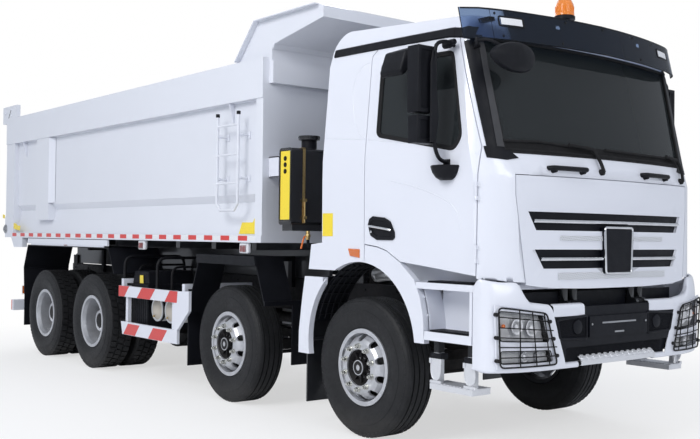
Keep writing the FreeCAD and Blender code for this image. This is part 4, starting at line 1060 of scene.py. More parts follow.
WHITE = Enamel("white_enamel", "white_paint", (0.70, 0.72, 0.79), dust=0.05)
# The cab enamel turns near-black on the front panel's pivot legs and low under the cab: painted shade in
# the dark gap between the front panel and the bumper and under the cab floor.
CAB_WHITE = Enamel("cab_enamel", "white_paint", (0.70, 0.72, 0.79), dust=0.03,
                   black=(Zone((4.3, 4.8), (0.0, 0.52), (0.9, 1.225)),
                          Zone((2.3, 4.8), (0.0, 1.19), (0.9, 1.16))))
# The bed enamel turns near-black inside its walls below 1.482 m, under the bed's floor.
BED_WHITE = Enamel("bed_enamel", "white_paint", (0.68, 0.70, 0.76), dust=0.06,
                   black=(Zone((-5.2, 3.2), (0.0, 1.176), (0.9, 1.482)),))
ARCH_WHITE = Enamel("arch_enamel", "white_paint", (0.70, 0.72, 0.79), dust=0.05,
                    black=(Zone((2.2, 2.64), (0.0, 1.1945), (0.0, 1.3)),
                           Zone((2.2, 2.64), (0.0, 1.3), (0.0, 0.5925))))
TYRE = Rubber("tyre_rubber", "tyre", (0.0085, 0.0088, 0.0100))
# The rims turn near-black nearer the middle than 0.985 m: painted shade inside the wheels.
RIM = Metal("wheel_silver", "rim_silver", (0.62, 0.63, 0.66), rough=0.38, metallic=0.75, grain=40.0,
            black=(Zone((-9.0, 9.0), (0.0, 0.985), (-1.0, 2.0)),))
FRAME = ChassisPaint("frame_satin_black", "frame_black", (0.0050, 0.0052, 0.0072))
CASTING = ChassisPaint("casting_black", "chassis_black", (0.0080, 0.0080, 0.0095), rough=0.6, dust=0.14)
HEAT = Metal("exhaust_steel", "heat_steel", (0.40, 0.38, 0.36), rough=0.5, grain=25.0)
ALLOY = Metal("tank_alloy", "tank_alloy", (0.66, 0.67, 0.68), rough=0.33, grain=18.0)
BLACK_PLASTIC = Plastic("black_moulding", "black_plastic", (0.0055, 0.0060, 0.0085))
GRILLE_BLACK = Plastic("grille_satin_black", "grille_black", (0.0035, 0.0042, 0.0072), rough=0.40)
TANK_BLACK = Enamel("tank_gloss_black", "tank_black", (0.012, 0.012, 0.014), rough=0.25, dust=0.05)
ZINC = Galvanised("zinc_tread", "galvanised", (0.74, 0.75, 0.78),
                  (Zone((3.9, 4.5), (1.1, 1.3), (0.745, 0.9)),))
WINDOW = Glass("cab_window", "glass", (0.62, 0.70, 0.74), stop=0.42)
LAMP_GLASS = Glass("lamp_cover", "glass", (1.0, 1.0, 1.0), stop=0.03)
VISOR = Glass("smoked_visor", "visor_tint", (0.55, 0.66, 0.84), stop=0.22, rough=0.06)
AMBER = Lens("amber_lens", "amber", (0.85, 0.26, 0.02), glow=0.25)
TRIM = Plastic("cab_trim_grey", "trim_grey", (0.045, 0.046, 0.050), rough=0.65)
PIERCED = Perforated("pierced_strip", "white_paint", (0.66, 0.68, 0.72))
NUT = Metal("wheel_nut", "hoist_steel", (0.70, 0.70, 0.66), rough=0.22, grain=50.0, dust=0.05)
# The lamp reflectors are near-white and hardly metallic: their brightness is a painted reflection standing
# in for chrome.
REFLECTOR = Metal("lamp_reflector", "hoist_steel", (0.93, 0.94, 0.97), rough=0.30, metallic=0.05, dust=0.0)
CHROME = Metal("bright_chrome", "hoist_steel", (0.82, 0.83, 0.85), rough=0.12, grain=30.0, dust=0.03)
RED_FILM = Marking("red_reflective", "white_paint", (0.62, 0.035, 0.03))
WHITE_FILM = Marking("white_reflective", "white_paint", (0.74, 0.75, 0.78))
YELLOW_FILM = Marking("yellow_patch", "white_paint", (0.86, 0.66, 0.03))
ORANGE = Lens("side_lamp_orange", "amber", (0.85, 0.20, 0.02), glow=0.15)
RED_LENS = Lens("rear_lamp_red", "amber", (0.55, 0.02, 0.02), glow=0.05)
BRASS = Metal("brass_fitting", "hoist_steel", (0.72, 0.52, 0.22), rough=0.3)
SEAL = Plastic("rubber_seal", "black_plastic", (0.012, 0.012, 0.013), rough=0.7)
BEIGE = Enamel("tank_beige", "tank_alloy", (0.47, 0.43, 0.37), rough=0.45, coat=0.2, dust=0.3)
STEEL = Metal("plain_steel", "hoist_steel", (0.45, 0.46, 0.48), rough=0.4)


def finish_piece(piece: Piece, body: str, finish: Finish, replaces: Sequence[str] = ()
                 ) -> Piece:
    """Give a new piece its finish and let it ride on a body.

    Args:
        piece: the mesh object.
        body: the CAD body that carries it.
        finish: its look, which becomes the piece's only material.
        replaces: CAD nodes that it stands for.

    Returns:
        The same piece.
    """
    piece.data.materials.clear()
    piece.data.materials.append(finish.material())
    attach(piece, body)
    if replaces:
        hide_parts(*replaces)
    LOG.info("%s rides on %s: %d faces", piece.name, body, len(piece.data.polygons))
    return piece


def dress_node(nodes: dict[str, Piece], name: str, finish: Finish) -> None:
    """Give a CAD node a better material.

    Args:
        nodes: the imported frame's nodes by name.
        name: the node's name.
        finish: its look.
    """
    mesh = nodes[name].data
    if not mesh.materials:
        mesh.materials.append(finish.material())
    for i in range(len(mesh.materials)):
        mesh.materials[i] = finish.material()
    LOG.info("%s dressed in %s", name, finish.name)


def group(name: str, pieces: Iterable[Piece], body: str, finish: Finish, replaces: Sequence[str] = ()
          ) -> Piece:
    """Join pieces, finish them and let them ride on a body."""
    return finish_piece(join(name, pieces), body, finish, replaces)


# ---- studio ------------------------------------------------------------------
@dataclass
class Studio:
    """Camera, soft lamps, pale floor and a white surround."""

    eye: Point = (8.8883, -5.9482, 1.5485)
    yaw: float = 141.079
    pitch: float = 0.998
    roll: float = 0.6567
    lens: float = 49.82
    floor_reach: float = 140.0
    fade: Pair = (3.5, 7.5)
    lamps: tuple[tuple[str, Point, Point, float, float], ...] = (
        ("key", (5.0, -12.0, 9.5), (0.0, 0.0, 1.6), 7.0, 1150.0),
        ("front_fill", (15.0, -1.0, 6.0), (2.5, 0.0, 1.4), 6.0, 330.0),
        ("back", (-12.0, 7.0, 8.0), (-1.0, 0.0, 1.6), 7.0, 500.0))

    def camera(self) -> None:
        """Set the camera at its place, turned by yaw, pitch and roll."""
        yaw, pitch, roll = (math.radians(a) for a in (self.yaw, self.pitch, self.roll))
        ahead = Vector((math.cos(pitch) * math.cos(yaw), math.cos(pitch) * math.sin(yaw), math.sin(pitch)))
        right = Vector((math.sin(yaw), -math.cos(yaw), 0.0))
        up = right.cross(ahead)
        side = right * math.cos(roll) + up * math.sin(roll)
        top = up * math.cos(roll) - right * math.sin(roll)
        data = bpy.data.cameras.new("camera")
        data.lens, data.sensor_width, data.clip_end = self.lens, 36.0, 400.0
        camera = bpy.data.objects.new("camera", data)
        bpy.context.scene.collection.objects.link(camera)
        turn = Matrix((side, top, -ahead)).transposed().to_4x4()
        camera.matrix_world = Matrix.Translation(Vector(self.eye)) @ turn
        bpy.context.scene.camera = camera

    def lamp(self, name: str, place: Point, target: Point, width: float, power: float) -> None:
        """A large soft lamp that looks at a point.

        Args:
            name: the lamp's name.
            place: where it stands.
            target: where it looks.
            width: its diameter.
            power: its power in watts.
        """
        data = bpy.data.lights.new(name, "AREA")
        data.shape, data.size, data.energy = "DISK", width, power
        lamp = bpy.data.objects.new(name, data)
        bpy.context.scene.collection.objects.link(lamp)
        lamp.location = place
        lamp.rotation_euler = (Vector(place) - Vector(target)).to_track_quat("Z", "Y").to_euler()

    def surround(self) -> None:
        """A world that lights softly and shows as white."""
        world_data = bpy.data.worlds.new("surround")
        bpy.context.scene.world = world_data
        world_data.use_nodes = True
        tree = world_data.node_tree
        tree.nodes.clear()
        rays = tree.nodes.new("ShaderNodeLightPath")
        seen = tree.nodes.new("ShaderNodeMath")
        seen.operation = "MAXIMUM"
        mixed, out = tree.nodes.new("ShaderNodeMixShader"), tree.nodes.new("ShaderNodeOutputWorld")
        wires = [(rays.outputs["Is Camera Ray"], seen.inputs[0]), (seen.outputs[0], mixed.inputs[0]),
                 (rays.outputs["Is Transmission Ray"], seen.inputs[1]), (mixed.outputs[0], out.inputs[0])]
        for i, (colour, power) in enumerate((((0.86, 0.91, 1.0, 1.0), 0.62), ((1.0, 1.0, 1.0, 1.0), 1.0))):
            glow = tree.nodes.new("ShaderNodeBackground")
            glow.inputs[0].default_value, glow.inputs[1].default_value = colour, power
            wires.append((glow.outputs[0], mixed.inputs[1 + i]))
        for source, target in wires:
            tree.links.new(source, target)

    def floor(self) -> None:
        """A pale floor that turns white away from the truck."""
        clear_selection()
        bpy.ops.mesh.primitive_plane_add(size=2 * self.floor_reach)
        floor = settle("floor")
        nodes = Nodes("pale_floor")
        nodes.set(Base_Color=(0.86, 0.865, 0.88), Roughness=0.85)
        far = nodes.node("VectorMath", nodes.place, operation="LENGTH").outputs["Value"]
        seen = nodes.node("LightPath").outputs["Is Camera Ray"]
        share = nodes.sums("MULTIPLY", nodes.span(far, *self.fade, 0.60, 1.0), seen)
        white = nodes.node("Emission", (1.0, 1.0, 1.0), 1.0)
        mixed = nodes.node("MixShader", share, nodes.shader.outputs[0], white.outputs[0])
        nodes.wire(mixed.outputs[0], nodes.out.inputs[0])
        floor.data.materials.append(nodes.material)
        floor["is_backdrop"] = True

    def build(self) -> None:
        """Set the whole stage."""
        self.camera()
        self.surround()
        self.floor()
        for lamp in self.lamps:
            self.lamp(*lamp)
        bpy.context.scene.view_settings.view_transform = "Standard"
        LOG.info("stage set")


# ---- wheels ------------------------------------------------------------------
class Tread(Enum):
    """The two tread patterns: ribs for steered wheels, blocks for driven ones."""

    RIB = "rib"
    BLOCK = "block"


@dataclass
class Tyre:
    """One road tyre: sidewalls, shoulder, tread and the moulded rings beside the bead."""

    centre: Vector
    name: str
    tread: Tread
    radius: float = 0.540
    half_width: float = 0.150
    bead: float = 0.2855
    groove_depth: float = 0.014
    groove_half: float = 0.007
    steps: int = 84
    lugs_round: int = 44
    nicks_round: int = 66

    def side_profile(self) -> list[Pair]:
        """Outline of one sidewall from the bead to the shoulder, as (across, radius).

        Returns:
            The outline's points.
        """
        h, r = self.half_width, self.radius
        return [(h - 0.038, self.bead), (h - 0.036, self.bead + 0.014), (h - 0.026, self.bead + 0.022),
                (h - 0.020, self.bead + 0.045), (h - 0.010, self.bead + 0.075),
                (h - 0.0035, self.bead + 0.105), (h, self.bead + 0.135), (h - 0.001, self.bead + 0.155),
                (h - 0.004, self.bead + 0.157), (h - 0.005, r - 0.085), (h - 0.008, r - 0.060),
                (h - 0.016, r - 0.030), (h - 0.026, r - 0.013)]

    def crown(self) -> list[Pair]:
        """The tread from one shoulder to the other, with its round grooves.

        Returns:
            The outline's points.
        """
        edge = self.half_width - 0.036
        points: list[Pair] = [(edge, self.radius - 0.006)]
        if self.tread is Tread.RIB:
            for middle in (0.078, 0.027, -0.027, -0.078):
                g, d = self.groove_half, self.groove_depth
                points += [(middle + g, self.radius), (middle + g * 0.6, self.radius - d),
                           (middle - g * 0.6, self.radius - d), (middle - g, self.radius)]
        else:
            points += [(edge - 0.008, self.radius - self.groove_depth),
                       (-edge + 0.008, self.radius - self.groove_depth)]
        return points + [(-edge, self.radius - 0.006)]

    def carcass(self) -> Piece:
        """The turned body of the tyre.

        Returns:
            The new piece.
        """
        side = self.side_profile()
        inner = [(-self.half_width + 0.052, self.bead + 0.02), (self.half_width - 0.052, self.bead + 0.02)]
        outline = side + self.crown() + [(-a, r) for a, r in reversed(side)] + inner
        return wheel_turned(self.name, outline, self.centre, self.steps)

    def blocks(self) -> list[Piece]:
        """Block rows round the tread with slots between them.

        Returns:
            The blocks.
        """
        pitch = 2 * math.pi * self.radius / self.lugs_round
        rows = ((0.085, 0.056, 0.0), (0.0, 0.050, 0.5), (-0.085, 0.056, 0.0))
        found: list[Piece] = []
        low, high = self.radius - self.groove_depth - 0.002, self.radius - 0.0019
        for across, width, phase in rows:
            half_a, half_c = width / 2 + 0.008, pitch * 0.40
            x, y, z = self.centre
            lean = 0.006 if across else 0.012
            corners = [(x - half_c - lean, y + across - half_a, z + low),
                       (x + half_c - lean, y + across - half_a, z + low),
                       (x + half_c + lean, y + across + half_a, z + low),
                       (x - half_c + lean, y + across + half_a, z + low)]
            lug = plate("lug", corners, (0, 0, high - low))
            lug.data.transform(around(self.centre, 2 * math.pi * phase / self.lugs_round))
            found += turned(lug, self.centre, (0, 1, 0), self.lugs_round)
        return found

    def shoulder_nicks(self) -> list[Piece]:
        """Short bars on both shoulders that give the tread edge its notches.

        Returns:
            The bars.
        """
        found: list[Piece] = []
        x, y, z = self.centre
        for side in (1, -1):
            out, inn = self.half_width - 0.0155, self.half_width - 0.046
            lug = plate("nick",
                        [(x - 0.017, y + side * inn, z + self.radius - 0.020),
                         (x + 0.017, y + side * inn, z + self.radius - 0.020),
                         (x + 0.017, y + side * out, z + self.radius - 0.052),
                         (x - 0.017, y + side * out, z + self.radius - 0.052)], (0, side * 0.004, 0.0185))
            found += turned(lug, self.centre, (0, 1, 0), self.nicks_round)
        return found

    def build(self) -> Piece:
        """The whole tyre as one piece.

        Returns:
            What was built.
        """
        pieces = [self.carcass()] + self.shoulder_nicks()
        if self.tread is Tread.BLOCK:
            pieces += self.blocks()
        return join(self.name, pieces)


@dataclass
class WheelFace:
    """What is bolted to a rim: nuts, hub cap, hub flange and valve."""

    name: str
    centre: Vector
    side: Side
    front: bool
    nut_circle: float = 0.1675
    nut_count: int = 10
    nave: float = 0.165
    rear_face: float = 0.0165
    cap_size: Point = (0.150, 0.098, 0.205)

    def nuts(self, face: float) -> list[Piece]:
        """Ten flanged nuts on their studs, standing on a face at this distance outwards.

        Args:
            face: how far out they stand.

        Returns:
            The nuts.
        """
        s = self.side.value
        x, y, z = self.centre
        at = (x, y + s * face, z + self.nut_circle)
        washer = bar("washer", at, (x, y + s * (face + 0.006), at[2]), 0.0235, 20, 0.0015)
        nut = bar("nut", at, (x, y + s * (face + 0.030), at[2]), 0.0190, 6, 0.002)
        stud = bar("stud", at, (x, y + s * (face + 0.042), at[2]), 0.0115, 12, 0.0015)
        return turned(join("nut", [washer, nut, stud]), self.centre, (0, 1, 0), self.nut_count)

    def cap(self, face: float, radius: float, reach: float) -> Piece:
        """The hub's turned cover with its rim of small bolts.

        Args:
            face: where its flange lies.
            radius: the radius.
            reach: how far out it ends.

        Returns:
            The cover.
        """
        s = self.side.value
        outline = [(face, 0.0), (face, radius * 1.18), (face + 0.010, radius * 1.18),
                   (face + 0.014, radius), (reach - 0.014, radius * 0.97), (reach - 0.003, radius * 0.86),
                   (reach, radius * 0.70), (reach + 0.006, radius * 0.66), (reach + 0.008, radius * 0.2),
                   (reach + 0.008, 0.0)]
        body = wheel_turned("cap", [(s * a, r) for a, r in outline], self.centre, 40)
        x, y, z = self.centre
        screw = bar("screw", (x, y + s * (face + 0.009), z + radius * 1.09),
                    (x, y + s * (face + 0.018), z + radius * 1.09), 0.006, 6)
        return join("cap", [body] + turned(screw, self.centre, (0, 1, 0), 8))

    def hub(self) -> Piece:
        """The dark hub seen through the bore of a steered wheel: ribbed well, bolts and dust cap.

        Returns:
            The hub.
        """
        s = self.side.value
        x, y, z = self.centre
        outline = [(0.095, 0.0), (0.095, 0.139), (0.1535, 0.139), (0.1535, 0.133), (0.1178, 0.1105),
                   (0.1178, 0.066), (0.122, 0.062), (0.160, 0.0605), (0.170, 0.054), (0.1745, 0.040),
                   (0.1745, 0.024), (0.168, 0.022), (0.168, 0.0)]
        body = wheel_turned("hub", [(s * a, r) for a, r in outline], self.centre, 48)
        rib = block("rib", (x - 0.005, y + s * 0.112, z + 0.062), (x + 0.005, y + s * 0.142, z + 0.128),
                    0.003)
        bolt = bar("bolt", (x, y + s * 0.117, z + 0.088), (x, y + s * 0.130, z + 0.088), 0.0095, 6, 0.0015)
        bolt.data.transform(around(self.centre, math.pi / 10))
        return join("hub", [body] + turned(rib, self.centre, (0, 1, 0), 10)
                    + turned(bolt, self.centre, (0, 1, 0), 10))

    def build(self) -> list[Piece]:
        """The dressed face: bright nuts and the dark hub or cap.

        Returns:
            What was built.
        """
        body = "wheel_" + self.name
        nuts = join("nuts_" + self.name, self.nuts(self.nave if self.front else self.rear_face))
        cap = self.hub() if self.front else self.cap(*self.cap_size)
        cap.name = "hub_cap_" + self.name
        finish_piece(nuts, body, NUT)
        finish_piece(cap, body, FRAME)
        return [nuts, cap]


@dataclass
class Wheels:
    """All eight wheels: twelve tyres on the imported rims."""

    front_y: float = 1.030
    rear_y: float = 0.930
    spacing: float = 0.345

    def tyres_of(self, number: int, side: Side) -> Piece:
        """The tyre or pair of tyres of one wheel.

        Args:
            number: the axle's number.
            side: left or right.

        Returns:
            The tyre, or both joined.
        """
        x = AXLE_X[number - 1]
        name = "tyre_%d_%s_road" % (number, side.word)
        if number <= 2:
            return Tyre(Vector((x, side.value * self.front_y, AXLE_Z)), name, Tread.RIB).build()
        pair = [Tyre(Vector((x, side.value * (self.rear_y + s * self.spacing / 2), AXLE_Z)), name,
                     Tread.BLOCK).build() for s in (1, -1)]
        return join(name, pair)

    def build(self, nodes: dict[str, Piece]) -> None:
        """Model one tyre of each kind, copy it to every wheel, and dress the rims.

        Args:
            nodes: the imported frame's nodes by name.
        """
        models = {home: self.tyres_of(home, Side.RIGHT) for home in (1, 3)}
        for number in (1, 2, 3, 4):
            home = 1 if number <= 2 else 3
            for side in SIDES:
                key = "%d_%s" % (number, side.word)
                piece = models[home]
                if number != home or side is Side.LEFT:
                    shift = Matrix.Translation(Vector((AXLE_X[number - 1] - AXLE_X[home - 1], 0, 0)))
                    flip = Matrix.Identity(4) if side is Side.RIGHT else Matrix.Diagonal((1, -1, 1, 1))
                    piece = copied(piece, shift @ flip)
                piece.name = "tyre_%s_road" % key
                finish_piece(piece, "wheel_" + key, TYRE, ("tyre_" + key,))
                dress_node(nodes, "rim_" + key, RIM)
                y = self.front_y if number <= 2 else self.rear_y
                WheelFace(key, Vector((AXLE_X[number - 1], side.value * y, AXLE_Z)), side,
                          number <= 2).build()


# ---- forms shared by the sub-assemblies --------------------------------------
@dataclass
class Sided:
    """A sub-assembly that stands on one side of the truck."""

    side: Side

    @property
    def word(self) -> str:
        """The side's name."""
        return self.side.word

    def at(self, x: float, y: float, z: float) -> Vector:
        """A point on this side, given from the first axle."""
        return world(x, self.side.value * y, z)


@dataclass(frozen=True)
class CabForm:
    """The cab's outer form: sizes at five heights, read in straight lines between them."""

    heights: tuple[float, ...] = (1.200, 1.975, 2.150, 2.910, 3.230)
    half_width: tuple[float, ...] = (1.240, 1.245, 1.243, 1.180, 1.085)
    side_end: tuple[float, ...] = (1.265, 1.240, 1.200, 1.050, 0.930)
    corner_x: tuple[float, ...] = (1.440, 1.409, 1.330, 1.152, 1.050)
    corner_y: tuple[float, ...] = (0.950, 1.021, 1.064, 1.090, 0.985)
    nose_x: tuple[float, ...] = (1.495, 1.480, 1.440, 1.265, 1.150)
    bulge: Pair = (0.020, 0.018)

    def side(self, x: float, z: float, side: Side, out: float = 0.0) -> Vector:
        """A point on the flat side or, ahead of it, on the rounded corner.

        Args:
            x: the place along the truck.
            z: the height.
            side: left or right.
            out: how far outside the skin.

        Returns:
            The point.
        """
        end, corner = between(self.side_end, self.heights, z), between(self.corner_x, self.heights, z)
        if x <= end:
            return world(x, side.value * (between(self.half_width, self.heights, z) + out), z)
        return self.corner(min(1.0, (x - end) / (corner - end) * 0.93), z, side, out)

    def corner(self, share: float, z: float, side: Side, out: float = 0.0) -> Vector:
        """A point on the corner's arc: share 0 at the side and 1 at the nose.

        Args:
            share: 0 at the side and 1 at the nose.
            z: the height.
            side: left or right.
            out: how far outside the skin.

        Returns:
            The point.
        """
        ax, ay = between(self.side_end, self.heights, z), between(self.half_width, self.heights, z)
        bx, by = between(self.corner_x, self.heights, z), between(self.corner_y, self.heights, z)
        mx, my = (ax + bx) / 2 + self.bulge[0], (ay + by) / 2 + self.bulge[1]
        first, middle = (2 * share - 1) * (share - 1), 4 * share * (1 - share)
        last = share * (2 * share - 1)
        x, y = first * ax + middle * mx + last * bx, first * ay + middle * my + last * by
        length = math.hypot(bx - ax, by - ay)
        return world(x + out * (ay - by) / length, side.value * (y + out * (bx - ax) / length), z)

    def nose(self, y: float, z: float, out: float = 0.0) -> Vector:
        """A point on the curved nose.

        Args:
            y: the place across the truck.
            z: the height.
            out: how far outside the skin.

        Returns:
            The point.
        """
        nose, corner_x, corner_y = (between(table, self.heights, z)
                                    for table in (self.nose_x, self.corner_x, self.corner_y))
        return world(nose - (nose - corner_x) * (y / corner_y) ** 2 + out, y, z)


CAB = CabForm()


# ---- front of the truck ------------------------------------------------------
@dataclass
class LampUnit(Sided):
    """A pair of headlamps behind a wire guard; u runs outwards over its face and v upwards."""

    low_in: Point = (1.490, 0.693, 0.695)
    top_in: Point = (1.489, 0.805, 1.044)
    top_out: Point = (1.407, 1.195, 1.093)
    low_out: Point = (1.405, 1.171, 0.693)
    stand_off: float = 0.028
    wire: float = 0.0045
    uprights: Outline = ((0.16, 0.07), (0.41, 0.355), (0.69, 0.62))
    crosses: tuple[float, ...] = (0.17, 0.345, 0.505, 0.67, 0.845)
    upper: Pair = (0.440, 0.945)
    lower: Pair = (0.060, 0.275)
    ends: Pair = (0.045, 0.955)

    def spot(self, u: float, v: float, out: float) -> Vector:
        """A point of the unit's bowed face, moved forward by out.

        Args:
            u: the place across the unit.
            v: the place up the unit.
            out: how far ahead of the face.

        Returns:
            The point.
        """
        low = Vector(self.low_in).lerp(Vector(self.low_out), u)
        top = Vector(self.top_in).lerp(Vector(self.top_out), u)
        place = low.lerp(top, v)
        bow = math.sin(math.pi * min(max(u, 0.0), 1.0)) * 0.022
        return world(place.x + out + bow, self.side.value * place.y, place.z)

    def guard(self) -> Piece:
        """Frame, grid and fixing tabs of the wire guard.

        Returns:
            The guard.
        """
        loop = [(0, 0), (0.25, 0), (0.5, 0), (0.75, 0), (1, 0), (1, 0.5), (1, 1), (0.75, 1), (0.5, 1),
                (0.25, 1), (0, 1), (0, 0.5)]
        wires = [tube("rim", [self.spot(u, v, self.stand_off) for u, v in loop], self.wire * 1.3, 0.035, 3,
                      True)]
        for foot, head in self.uprights:
            wires.append(tube("upright",
                              [self.spot(foot + (head - foot) * v, v, self.stand_off)
                               for v in (0, 0.25, 0.5, 0.75, 1)], self.wire, 0.0, 1))
        for j, v in enumerate(self.crosses):
            inner = -0.055 if j % 2 else -0.03
            wires.append(tube("cross", [self.spot(inner, v, self.stand_off)]
                              + [self.spot(u / 6, v, self.stand_off) for u in range(7)], self.wire, 0.0, 1))
        for u, v in ((-0.035, 0.845), (-0.035, 0.505), (-0.035, 0.17), (1.035, 0.88), (1.035, 0.5),
                     (1.035, 0.12)):
            wires.append(bar("tab", self.spot(u, v, 0.004), self.spot(u, v, self.stand_off + 0.006), 0.013,
                             12, 0.003))
        return join("lamp_guard_" + self.word, wires)

    def facets(self, low: float, high: float, columns: int, rows: int, deep: float) -> Piece:
        """A sheet of small flat mirrors behind one lens.

        Args:
            low: the lens' foot, as v.
            high: the lens' top, as v.
            columns: mirrors across.
            rows: mirrors up.
            deep: how far behind the face they lie.

        Returns:
            The sheet.
        """
        grid = [[self.spot(u, v, -deep + random.uniform(-0.006, 0.006))
                 for u in steps(*self.ends, columns + 1)] for v in steps(low, high, rows + 1)]
        return patch("facets", grid, 0.002)

    def outline(self, u0: float, u1: float, v0: float, v1: float, out: float, count: int) -> list[Vector]:
        """Points along the foot of a field and back along its top."""
        across = steps(u0, u1, count)
        return [self.spot(u, v0, out) for u in across] + [self.spot(u, v1, out) for u in reversed(across)]

    def bowl(self, u: float, v: float, radius: float) -> list[Piece]:
        """One round lamp: a bright bowl, its rim and its bulb.

        Args:
            u: the place across the unit.
            v: the place up the unit.
            radius: the radius.

        Returns:
            The bowl and its bulb.
        """
        centre = self.spot(u, v, -0.050)
        outline = [(0.0, 0.012), (0.004, 0.012), (0.030, radius * 0.86), (0.036, radius),
                   (0.033, radius * 1.06), (0.028, radius * 0.98), (-0.004, 0.012)]
        ring = [(centre.x + a, centre.y, centre.z + r) for a, r in outline]
        return [spun("bowl", ring, centre, (1, 0, 0), 28),
                bar("bulb", centre, self.spot(u, v, -0.018), 0.014, 14, 0.005)]

    def band(self, u0: float, u1: float, v0: float, v1: float) -> Piece:
        """A strip of the white frame round the lenses."""
        return plate("band", self.outline(u0, u1, v0, v1, 0.0, 7), (0.010, 0, 0))

    def loop(self, low: float, high: float) -> Piece:
        """The dark gasket round one lens."""
        return tube("gasket", self.outline(*self.ends, low, high, 0.0105, 5), 0.0030, 0.02, 2, True)

    def build(self) -> None:
        """Dress the whole unit."""
        word = self.word
        start, end = self.ends
        finish_piece(self.guard(), "chassis", FRAME)
        # The facets, bowls and bulbs take the near-white reflector finish: a painted reflection.
        bright = [self.facets(*self.upper, 15, 8, 0.040), self.facets(*self.lower, 15, 4, 0.040)]
        for u, v, radius in ((0.30, 0.70, 0.056), (0.60, 0.70, 0.052), (0.25, 0.165, 0.034),
                             (0.52, 0.165, 0.034)):
            bright += self.bowl(u, v, radius)
        group("lamp_bowls_" + word, bright, "chassis", REFLECTOR)
        frame = [self.band(-0.03, 1.03, self.lower[1], self.upper[0]),
                 self.band(-0.03, 1.03, self.upper[1], 1.03), self.band(-0.03, 1.03, -0.03, self.lower[0]),
                 self.band(-0.03, start, self.lower[0], self.lower[1]),
                 self.band(-0.03, start, self.upper[0], self.upper[1]),
                 self.band(end, 1.03, self.lower[0], self.lower[1]),
                 self.band(end, 1.03, self.upper[0], self.upper[1])]
        group("lamp_frame_" + word, frame, "chassis", WHITE)
        group("lamp_gaskets_" + word, [self.loop(*self.upper), self.loop(*self.lower)], "chassis", SEAL)
        bulbs = [bar("bulb", self.spot(u, v, -0.030), self.spot(u + 0.01, v + 0.01, -0.014), size, 14,
                     0.004) for u, v, size in ((0.83, 0.69, 0.013), (0.91, 0.67, 0.010))]
        group("turn_bulbs_" + word, bulbs, "chassis", ORANGE)


PLAN_Y = (0.0, 0.600, 0.760, 0.880, 0.980, 1.080, 1.150, 1.195, 1.225, 1.240, 1.245)
PLAN_X = (1.505, 1.505, 1.5035, 1.492, 1.474, 1.446, 1.417, 1.393, 1.365, 1.335, 1.300)


